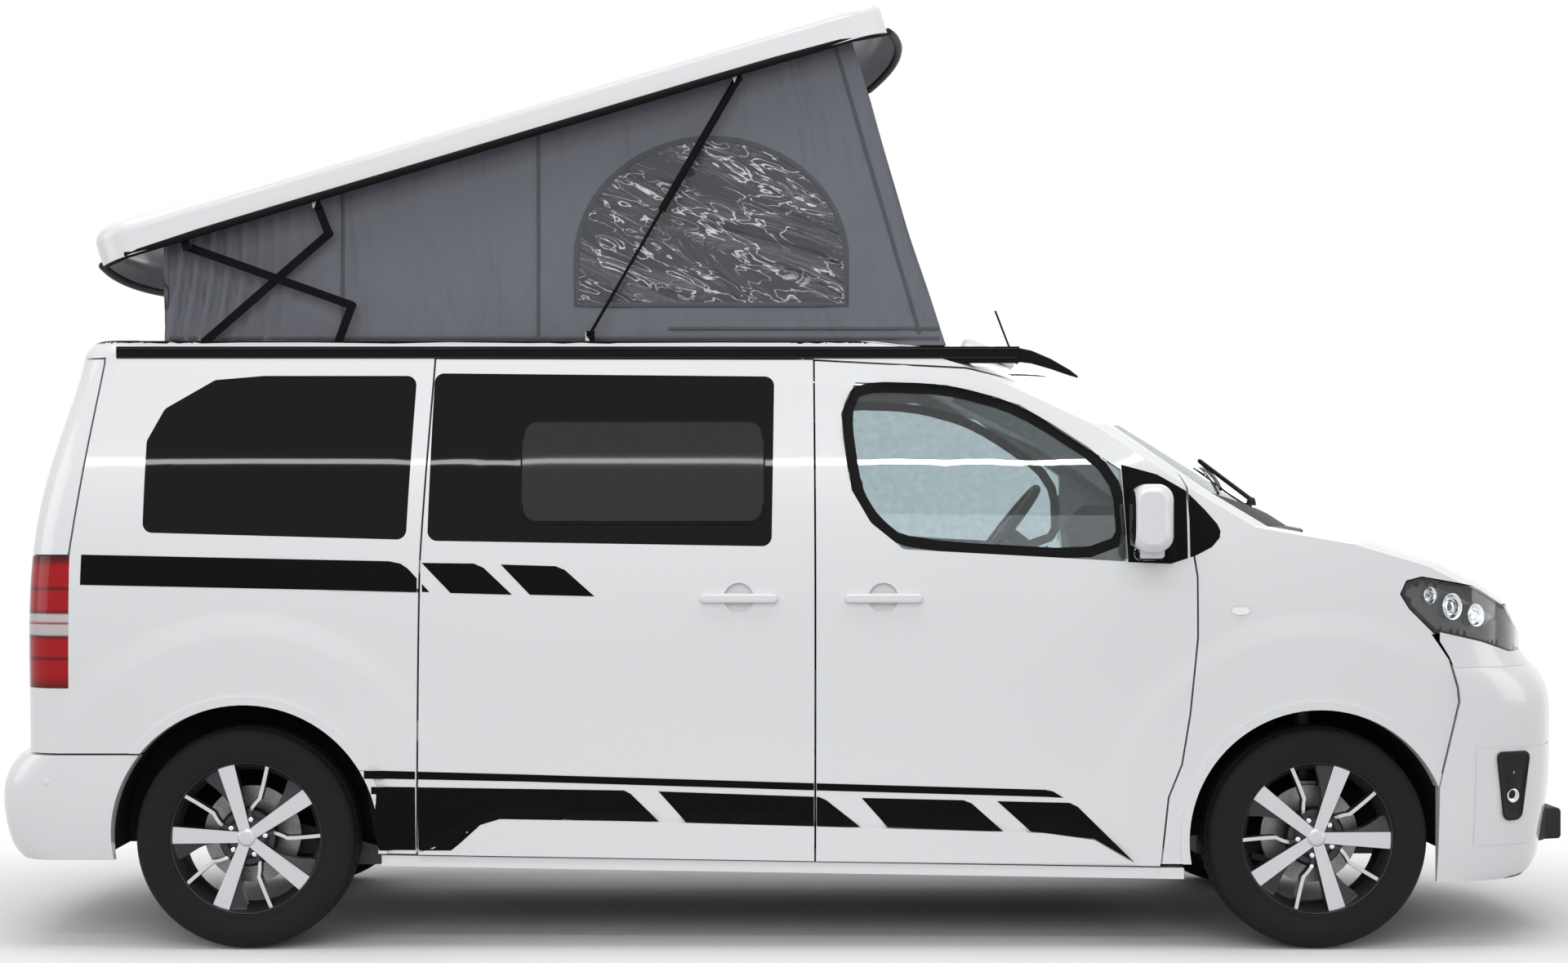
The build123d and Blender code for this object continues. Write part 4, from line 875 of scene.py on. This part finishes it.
mirror = dict(x=1.0135, y=1.068, z=1.319, halfWidth=0.075, halfHeight=0.084)
mirrorLine = roundOff(boxAround(0, 0, mirror["halfWidth"], mirror["halfHeight"]), 3)
for side, label in sides:
    verts = [(mirror["x"], side * (mirror["y"] + a), mirror["z"] + b) for a, b in mirrorLine]
    addPiece(f"mirrorGlass{label}", verts, [tuple(range(len(verts)))], "mirrorGlass", f"{label.lower()}_door")

# headlamps: thin walls are the clear cover, the rest is the dark housing
thinWall = 0.006
mesh = nodes["headlamps"].data
mesh.materials.append(look["lampInner"])
for polygon in mesh.polygons:
    inward = -Vector(polygon.normal)
    depth = treeOf("headlamps").ray_cast(polygon.center + inward * 0.0008, inward, 0.5)[3]
    if depth is None or depth >= thinWall:
        polygon.material_index = 1


def addRingLamp(name, centre, axis, radius):
    bowl = [(0.004, -0.012), (radius * 0.5, -0.010), (radius * 0.85, -0.002), (radius, 0.008),
            (radius * 1.04, 0.006)]
    cover = [(0.0005, 0.010), (radius * 0.35, 0.008), (radius * 0.55, 0.002), (radius * 0.6, -0.006)]
    addTurned(f"{name}Bowl", bowl, centre, axis, "chrome", steps=40)
    addTurned(f"{name}Lens", cover, centre, axis, "lampCover")


# each lamp bowl's x, z, radius and how deep it sits behind the cover
lampBowls = ((2.020, 1.048, 0.040, 0.040), (2.100, 1.020, 0.034, 0.040), (1.950, 1.082, 0.026, 0.036))
for side, label in sides:
    for number, (x, z, radius, depth) in enumerate(lampBowls):
        spot = onto("headlamps", x, z, side, 0.0)
        addRingLamp(f"lampBowl{label}{number + 1}", (spot.x - 0.012, spot.y - side * depth, z),
                    (0.55, side * 0.83, 0.05), radius)
print("stage: lamps")

# bumper corners: a skin over the recess, measured by its reach from an upright axis at x and y
corner = dict(x=2.02, y=0.55, reach=0.9, low=0.318, high=0.616, rows=15, gapRear=2.212, gapFront=2.378,
              sunk=0.06, lift=0.0016, first=6, turn=2, count=41, spare=2)
cornerAngles = [radians(corner["first"] + corner["turn"] * step) for step in range(corner["count"])]
kept = slice(corner["spare"], -corner["spare"])


def roundCorner(nodeName, angle, z, side):
    outward = Vector((cos(angle), side * sin(angle), 0))
    middle = Vector((corner["x"], side * corner["y"], z))
    hit = strike(nodeName, middle + outward * corner["reach"], -outward, corner["reach"])
    return (hit - middle).length if hit else None


def cornerPoint(angle, z, side, reach):
    return Vector((corner["x"] + reach * cos(angle), side * (corner["y"] + reach * sin(angle)), z))


# a row's reaches; over the recess they follow the plain row above it, shifted evenly from edge to edge
def bridgedReach(z, side):
    plain = [roundCorner("front_bumper", angle, corner["high"], side) for angle in cornerAngles]
    reaches = [roundCorner("front_bumper", angle, z, side) for angle in cornerAngles]
    sunk = [not reach or abs(reach - full) > corner["sunk"]
            or corner["gapRear"] < cornerPoint(angle, z, side, reach).x < corner["gapFront"]
            for angle, reach, full in zip(cornerAngles, reaches, plain)]
    sound = [index for index, low in enumerate(sunk) if not low]
    bridged = []
    for index, full in enumerate(plain):
        before = max([other for other in sound if other <= index], default=sound[0])
        after = min([other for other in sound if other >= index], default=sound[-1])
        share = (index - before) / (after - before) if after > before else 0
        offset = (reaches[before] - plain[before]) * (1 - share) + (reaches[after] - plain[after]) * share
        bridged.append(full + offset)
    return bridged


def onCorner(x, z, side, label):
    hit = strike(f"corner{label}", (x, side * probe["start"], z), (0, -side, 0), probe["reach"])
    return hit or onto("front_bumper", x, z, side, 0.0)


# fog panel: an outline that narrows downwards, and rings of (scale, lift) that raise its rim
fogPanel = dict(rear=2.137, front=2.258, low=0.392, high=0.606, taper=0.030, corner=0.022, proud=0.003,
                forward=0.4)
fogRings = ((1.0, 0.0), (0.985, 0.005), (0.93, 0.0055), (0.88, 0.002), (0.5, 0.001), (0.25, 0.002),
            (0.0, 0.0025))
fogLamp = dict(x=2.196, z=0.470, bowl=[(0.0005, 0.002), (0.008, 0.003), (0.015, 0.006), (0.0195, 0.009),
                                       (0.0215, 0.007)])
fogX, fogZ = (fogPanel["rear"] + fogPanel["front"]) / 2, (fogPanel["low"] + fogPanel["high"]) / 2
fogLine = []
for x, z in roundedBox((fogPanel["rear"], fogPanel["low"]), (fogPanel["front"], fogPanel["high"]),
                       fogPanel["corner"], 5):
    share = (fogPanel["high"] - z) / (fogPanel["high"] - fogPanel["low"])
    fogLine.append((x + fogPanel["taper"] * share * (1 if x < fogX else -0.9), z))
for side, label in sides:
    grid = []
    for row in range(corner["rows"] + 1):
        z = corner["low"] + (corner["high"] - corner["low"]) * row / corner["rows"]
        grid.append([cornerPoint(angle, z, side, reach + corner["lift"])
                     for angle, reach in zip(cornerAngles[kept], bridgedReach(z, side)[kept])])
    skin = addGrid(f"bumperCorner{label}", grid, "whitePaint").data
    trees[f"corner{label}"] = treeFrom([v.co.copy() for v in skin.vertices], skin.polygons)
    rings = []
    for scale, lift in fogRings:
        raised = lift + fogPanel["proud"]
        spots = [onCorner(fogX + (x - fogX) * scale, fogZ + (z - fogZ) * scale, side, label)
                 for x, z in fogLine + fogLine[:1]]
        rings.append([spot + Vector((fogPanel["forward"] * raised, side * raised, 0)) for spot in spots])
    addGrid(f"fogPanel{label}", rings, "grainedBlack")
    spot = onCorner(fogLamp["x"], fogLamp["z"], side, label)
    addTurned(f"fogLamp{label}", fogLamp["bowl"], (spot.x, spot.y, fogLamp["z"]), (0.35, side * 0.94, 0),
              "alloyBright", steps=36)

# white sill from the bumper's top edge up to the headlamp's foot, given as (x, z) along the lamp
sill = dict(low=0.864, lampZ=0.99, gap=0.004, above=0.006, tipX=1.949, slopeX=1.999, slope=1.57,
            lift=0.0008, bumperLift=0.0012, steps=6, first=108, turn=2, count=52)
lampFoot = [(1.872, 1.044), (1.945, 0.971), (2.093, 0.938), (2.204, 0.903), (2.500, 0.893)]


def lampFootAt(x):
    for (xa, za), (xb, zb) in zip(lampFoot, lampFoot[1:]):
        if xa <= x <= xb:
            return za + (zb - za) * (x - xa) / (xb - xa)
    return lampFoot[-1][1]


for side, label in sides:
    grid = []
    for step in range(sill["count"]):
        angle = radians(sill["first"] - sill["turn"] * step)
        near = roundCorner("headlamps", angle, sill["lampZ"], side)
        reach = roundCorner("front_bumper", angle, sill["low"], side) or near
        if not near:
            continue
        top = lampFootAt(cornerPoint(angle, 0.95, side, near).x) + sill["gap"]
        upper = roundCorner("headlamps", angle, top + sill["above"], side) or near
        foot = cornerPoint(angle, sill["low"], side, reach + sill["bumperLift"])
        head = cornerPoint(angle, top, side, upper + sill["lift"])
        if head.x < sill["tipX"]:
            continue
        if head.x < sill["slopeX"]:
            footZ = lampFoot[1][1] - sill["slope"] * (head.x - lampFoot[1][0])
            foot = cornerPoint(angle, footZ, side, upper + sill["lift"])
        grid.append([foot.lerp(head, share / sill["steps"]) for share in range(sill["steps"] + 1)])
    addGrid(f"lampSill{label}", grid, "whitePaint")

# black lip along the foot of the front bumper
lip = dict(half=0.55, low=0.292, high=0.388, proud=0.028, front=2.464, frontHalf=0.48, limit=2.4785, steps=44)
grid = []
for step in range(lip["steps"] + 1):
    y = -lip["half"] + 2 * lip["half"] * step / lip["steps"]
    hit = strike("front_bumper", (2.7, y, lip["low"] + 0.02), (-1, 0, 0), 0.6)
    base = hit.x if hit else 2.40
    proud = base + lip["proud"] * max(0.0, 1 - (abs(y) / lip["half"]) ** 8) ** 0.5
    front = min(lip["limit"], max(proud, lip["front"] if abs(y) < lip["frontHalf"] else 0))
    grid.append([Vector((x, y, z)) for x, z in (
        (base - 0.01, lip["low"]), (front - 0.006, lip["low"]), (front, lip["low"] + 0.008),
        (front, lip["high"] - 0.008), (front - 0.006, lip["high"]), (base - 0.03, lip["high"] + 0.002))])
addGrid("lowerLip", grid, "grainedBlack")

# small trim: side repeaters, parking sensors and the antenna
repeaterLine = roundOff(boxAround(1357, 1036, 27, 12), 2, 0.25)
sensorFace = [(0.0, 0.0015), (0.008, 0.0015), (0.0095, 0.0008), (0.0115, 0.0)]
sensors = {"Rear": (-2.280, 0.516, "rear_bumper"), "Front": (2.190, 0.541, "front_bumper")}
for side, label in sides:
    addDecal(f"repeater{label}", repeaterLine, "front_wings", "body", side, "chrome", lift=0.004, grid=0.02)
    for end, (x, z, nodeName) in sensors.items():
        addTurned(f"parkingSensor{end}{label}", sensorFace, onto(nodeName, x, z, side, 0.0005), (0, side, 0),
                  "whitePaint", steps=28)
addTube("antenna", [(0.765, -0.02, 1.83), (0.735, -0.02, 1.90), (0.692, -0.02, 2.012)], 0.0035, "glossBlack")

# front ends of the roof rails as (x, depth, height, z), and the beads along the rails
rail = dict(y=0.745 + 0.02, start=0.695, drawIn=0.10, beadRear=-2.098, beadY=0.786, beadRadius=0.0028)
fairing = [(0.695, 0.021, 0.022, 1.825), (0.74, 0.020, 0.020, 1.818), (0.80, 0.018, 0.016, 1.797),
           (0.86, 0.014, 0.009, 1.770), (0.885, 0.008, 0.003, 1.757)]
fairingSection = [(0.0, 1.0), (0.35, 1.0), (0.5, 0.85), (0.5, -0.85), (0.35, -1.0), (0.0, -1.0)]
for side, label in sides:
    sections = [[(x, side * (rail["y"] - (x - rail["start"]) * rail["drawIn"] + a * depth), z + b * height)
                 for a, b in fairingSection] for x, depth, height, z in fairing]
    addBar(f"railFairing{label}", sections, "sealRubber")
    for z, place in ((1.842, "Top"), (1.815, "Low")):
        bead = [(x, side * rail["beadY"], z) for x in (rail["beadRear"], rail["start"])]
        addTube(f"railBead{label}{place}", bead, rail["beadRadius"], "glossBlack")

# white wedge on the roof ahead of the shell, as (x, underside, top) at the middle of the van
wedge = dict(half=0.56, across=24, sink=0.008, sweep=0.05, crown=0.03, thick=0.004)
wedgeStations = ((0.556, 1.872, 1.872), (0.572, 1.872, 1.884), (0.586, 1.870, 1.921), (0.608, 1.866, 1.920),
                 (0.640, 1.858, 1.905), (0.700, 1.845, 1.868), (0.745, 1.828, 1.838))
grid = []
for x, low, high in wedgeStations:
    line = []
    for step in range(wedge["across"] + 1):
        y = -wedge["half"] + 2 * wedge["half"] * step / wedge["across"]
        rise = max(0.0, 1 - (abs(y) / wedge["half"]) ** 6) ** 0.5
        fall = (y / 0.6) ** 2
        line.append((x - wedge["sweep"] * fall, y, low - wedge["sink"] - wedge["crown"] * fall
                     + (high - low + wedge["sink"]) * rise))
    grid.append(line)
thick = addGrid("roofWedge", grid, "whitePaint").modifiers.new("thick", "SOLIDIFY")
thick.thickness = wedge["thick"]
thick.offset = -1

# the seal under the roof shell's rim, laid out with the roof closed and turned up about the hinge
shell = dict(rear=-2.112, front=0.520, half=0.748, rim=1.879, bulge=0.090, rearBulge=0.050, corner=0.12,
             rearCorner=0.10, pinch=0.05, rearPinch=0.04, arcs=16)
seal = dict(lift=0.006, radius=0.013)


def shellPoint(x, y, z):
    dx, dz = x - hinge["x"], z - hinge["z"]
    run, rise = cos(hinge["tilt"]), sin(hinge["tilt"])
    return Vector((hinge["x"] + dx * run - dz * rise, y, hinge["z"] + dx * rise + dz * run))


def shellEnd(tip, bulge, way, pinch):
    radius = (shell["half"] ** 2 + bulge ** 2) / (2 * bulge)
    points = []
    for step in range(-shell["arcs"], shell["arcs"] + 1):
        y = way * (shell["half"] - 0.06) * step / shell["arcs"]
        back = radius - sqrt(radius ** 2 - y ** 2) + (pinch if abs(step) == shell["arcs"] else 0)
        points.append((tip - way * back, y))
    return points


shoulder, heel = shell["front"] - shell["bulge"] - shell["corner"], shell["rear"] + shell["rearCorner"]
plan = shellEnd(shell["front"], shell["bulge"], 1, shell["pinch"])
plan += [(shoulder, shell["half"]), (heel, shell["half"])]
plan += shellEnd(shell["rear"] - shell["rearBulge"], shell["rearBulge"], -1, shell["rearPinch"])
plan += [(heel, -shell["half"]), (shoulder, -shell["half"])]
sealPath = [shellPoint(x, y, shell["rim"] + seal["lift"]) for x, y in roundOff(plan, 1)]
addTube("shellSeal", sealPath, seal["radius"], "sealRubber", "lifting_roof", closed=True)
print("stage: trim")

plate = dict(x=-2.462, z=0.80, halfWidth=0.26, halfHeight=0.055, thick=0.004)
plateLine = roundOff(boxAround(0, 0, plate["halfWidth"], plate["halfHeight"]), 2, 0.12)
sections = [[(plate["x"] - depth, a, plate["z"] + b) for a, b in plateLine] for depth in (0, plate["thick"])]
addBar("plateRear", sections, "plateWhite", "tail_door")


# a spot lifted off the windscreen or the cowl, whichever is higher
def dropped(x, y, lift):
    hits = [strike(nodeName, (x, y, probe["above"]), (0, 0, -1), probe["fall"])
            for nodeName in ("fixed_glass", "cowl")]
    return Vector((x, y, max(hit.z for hit in hits if hit and hit.z > probe["screenFoot"]) + lift))


# a spot lifted off the tailgate or its glass, whichever is farther back
def behind(y, z, lift):
    hits = [strike(nodeName, (probe["behind"], y, z), (1, 0, 0), probe["forward"])
            for nodeName in ("tailgate_glass", "tailgate")]
    return Vector((min(hit.x for hit in hits if hit) - lift, y, z))


# each front wiper's pivot, middle of the arm, and the blade's two ends, as (x, y)
wipers = {"Right": ((1.475, -0.46), (1.330, -0.33), (1.345, -0.66), (1.375, 0.02)),
          "Left": ((1.485, 0.22), (1.360, 0.36), (1.385, 0.04), (1.325, 0.68))}
wiperCap = [(0.0, 0.026), (0.010, 0.024), (0.014, 0.014), (0.016, 0.0)]
rearWiperCap = [(0.0, 0.026), (0.014, 0.024), (0.020, 0.012), (0.022, -0.004)]
for label, (pivot, middle, start, end) in wipers.items():
    blade = [dropped(x, y, 0.010) for x, y in stepsBetween(start, end, 12)]
    arm = [dropped(*pivot, 0.018), dropped(*middle, 0.026), blade[6] + Vector((0, 0, 0.010))]
    addTube(f"wiperBlade{label}", blade, 0.006, "grainedBlack")
    addTube(f"wiperArm{label}", arm, 0.007, "grainedBlack")
    addTurned(f"wiperCap{label}", wiperCap, dropped(*pivot, 0.0), (0, 0, 1), "grainedBlack", steps=24)
arm = [behind(0.0, 1.19, 0.020), behind(-0.16, 1.23, 0.024), behind(-0.33, 1.275, 0.018)]
blade = [behind(-0.14 - 0.036 * step, 1.215 + 0.010 * step, 0.010) for step in range(11)]
addTube("rearWiperArm", arm, 0.006, "grainedBlack", "tail_door")
addTube("rearWiperBlade", blade, 0.005, "grainedBlack", "tail_door")
addTurned("rearWiperCap", rearWiperCap, behind(0.0, 1.19, 0.0), (-1, 0, 0), "grainedBlack", "tail_door")

# bars on the roof under the scissor links, as (x, underside, top)
barSides = (0.700, 0.706)
barStations = ((-1.845, 1.830, 1.846), (-1.820, 1.830, 1.850), (-1.445, 1.830, 1.850), (-1.415, 1.830, 1.846))
for side, label in sides:
    inner, outer = (side * y for y in barSides)
    addBar(f"scissorBase{label}", [[(x, inner, low), (x, inner, high), (x, outer, high), (x, outer, low)]
                                   for x, low, high in barStations], "blackSteel")
print("stage: plates")

view = dict(place=(-0.1815, -10.0, 1.339), lens=68.25, sensor=36, shiftX=0.03125, shiftY=0.019, far=200)
camera = addObject("camera", bpy.data.cameras.new("camera"))
camera.location = view["place"]
camera.rotation_euler = (radians(90), 0, 0)
camera.data.lens = view["lens"]
camera.data.sensor_width = view["sensor"]
camera.data.sensor_fit = "HORIZONTAL"
camera.data.shift_x = view["shiftX"]
camera.data.shift_y = view["shiftY"]
camera.data.clip_end = view["far"]
scene.camera = camera

lamps = [
    dict(name="topSoft", place=(0, -1.4, 7.0), aim=(0, 0, 1), size=(9, 4.5), power=240),
    dict(name="sideSoft", place=(-1.0, -9.5, 3.4), aim=(0, 0, 0.9), size=(9, 2.6), power=245, mirrored=False),
    dict(name="frontSoft", place=(8.0, -2.0, 3.0), aim=(0, 0, 1), size=(4, 4), power=90),
    dict(name="rearSoft", place=(-8.0, -2.0, 3.0), aim=(0, 0, 1), size=(4, 4), power=90),
    dict(name="backSoft", place=(0, 8.5, 4.0), aim=(0, 0, 1), size=(8, 4), power=200),
    dict(name="stripLamp", place=(-0.9, -8.6, 6.45), aim=(-0.9, -0.87, 1.59), size=(8.0, 0.16), power=130),
]
for lamp in lamps:
    light = bpy.data.lights.new(lamp["name"], "AREA")
    light.shape = "RECTANGLE"
    light.size, light.size_y = lamp["size"]
    light.energy = lamp["power"]
    holder = addObject(lamp["name"], light)
    holder.location = lamp["place"]
    holder.visible_glossy = lamp.get("mirrored", True)
    holder.rotation_euler = (Vector(lamp["aim"]) - Vector(lamp["place"])).to_track_quat("-Z", "Y").to_euler()

# the sky lights the van dimly, and is white where the camera, glass or gloss looks straight at it
sky = dict(color=(0.92, 0.95, 1.0, 1), strength=0.34)
backdrop = bpy.data.worlds.new("studio")
scene.world = backdrop
backdrop.use_nodes = True
tree = backdrop.node_tree
tree.nodes.clear()
dim = addNode(tree, "Background", {"Color": sky["color"], "Strength": sky["strength"]})
bright = addNode(tree, "Background", {"Color": (1, 1, 1, 1), "Strength": 1.0})
rays = addNode(tree, "LightPath").outputs
either = addNode(tree, "Math", {0: rays["Is Camera Ray"], 1: rays["Is Glossy Ray"]}, operation="MAXIMUM")
direct = addNode(tree, "Math", {0: either.outputs[0], 1: rays["Is Transmission Ray"]}, operation="MAXIMUM")
mix = addNode(tree, "MixShader", {0: direct.outputs[0], 1: dim.outputs[0], 2: bright.outputs[0]})
addNode(tree, "OutputWorld", {"Surface": mix.outputs[0]})

# the floor fades out round the van, farther along it than across
ground = dict(half=40, color=(0.9, 0.9, 0.9, 1), roughness=0.9, squeeze=(0.62, 1, 0), fadeFrom=1.2,
              fadeTo=2.9)
floorMesh = bpy.data.meshes.new("floor")
square = [(x, y, 0) for x, y in boxAround(0, 0, ground["half"], ground["half"])]
floorMesh.from_pydata(square, [], [(0, 1, 2, 3)])
floor = addObject("floor", floorMesh)
floorLook = bpy.data.materials.new("floorLook")
floorLook.use_nodes = True
tree = floorLook.node_tree
plain = feed(tree, shaderOf(floorLook), {"Base Color": ground["color"], "Roughness": ground["roughness"],
                                         "Specular IOR Level": 0.0})
place = addNode(tree, "TexCoord").outputs["Object"]
squeezed = addNode(tree, "VectorMath", {0: place, 1: ground["squeeze"]}, operation="MULTIPLY")
away = addNode(tree, "VectorMath", {0: squeezed.outputs[0]}, operation="LENGTH")
fade = addNode(tree, "MapRange", {"Value": away.outputs["Value"], "From Min": ground["fadeFrom"],
                                  "From Max": ground["fadeTo"]}, interpolation_type="SMOOTHSTEP")
clear = addNode(tree, "BsdfTransparent")
mix = addNode(tree, "MixShader", {0: fade.outputs["Result"], 1: plain.outputs[0], 2: clear.outputs[0]})
feed(tree, tree.nodes["Material Output"], {"Surface": mix.outputs[0]})
floorMesh.materials.append(floorLook)
print("stage: camera, light and floor")

scene.view_settings.view_transform = "Standard"
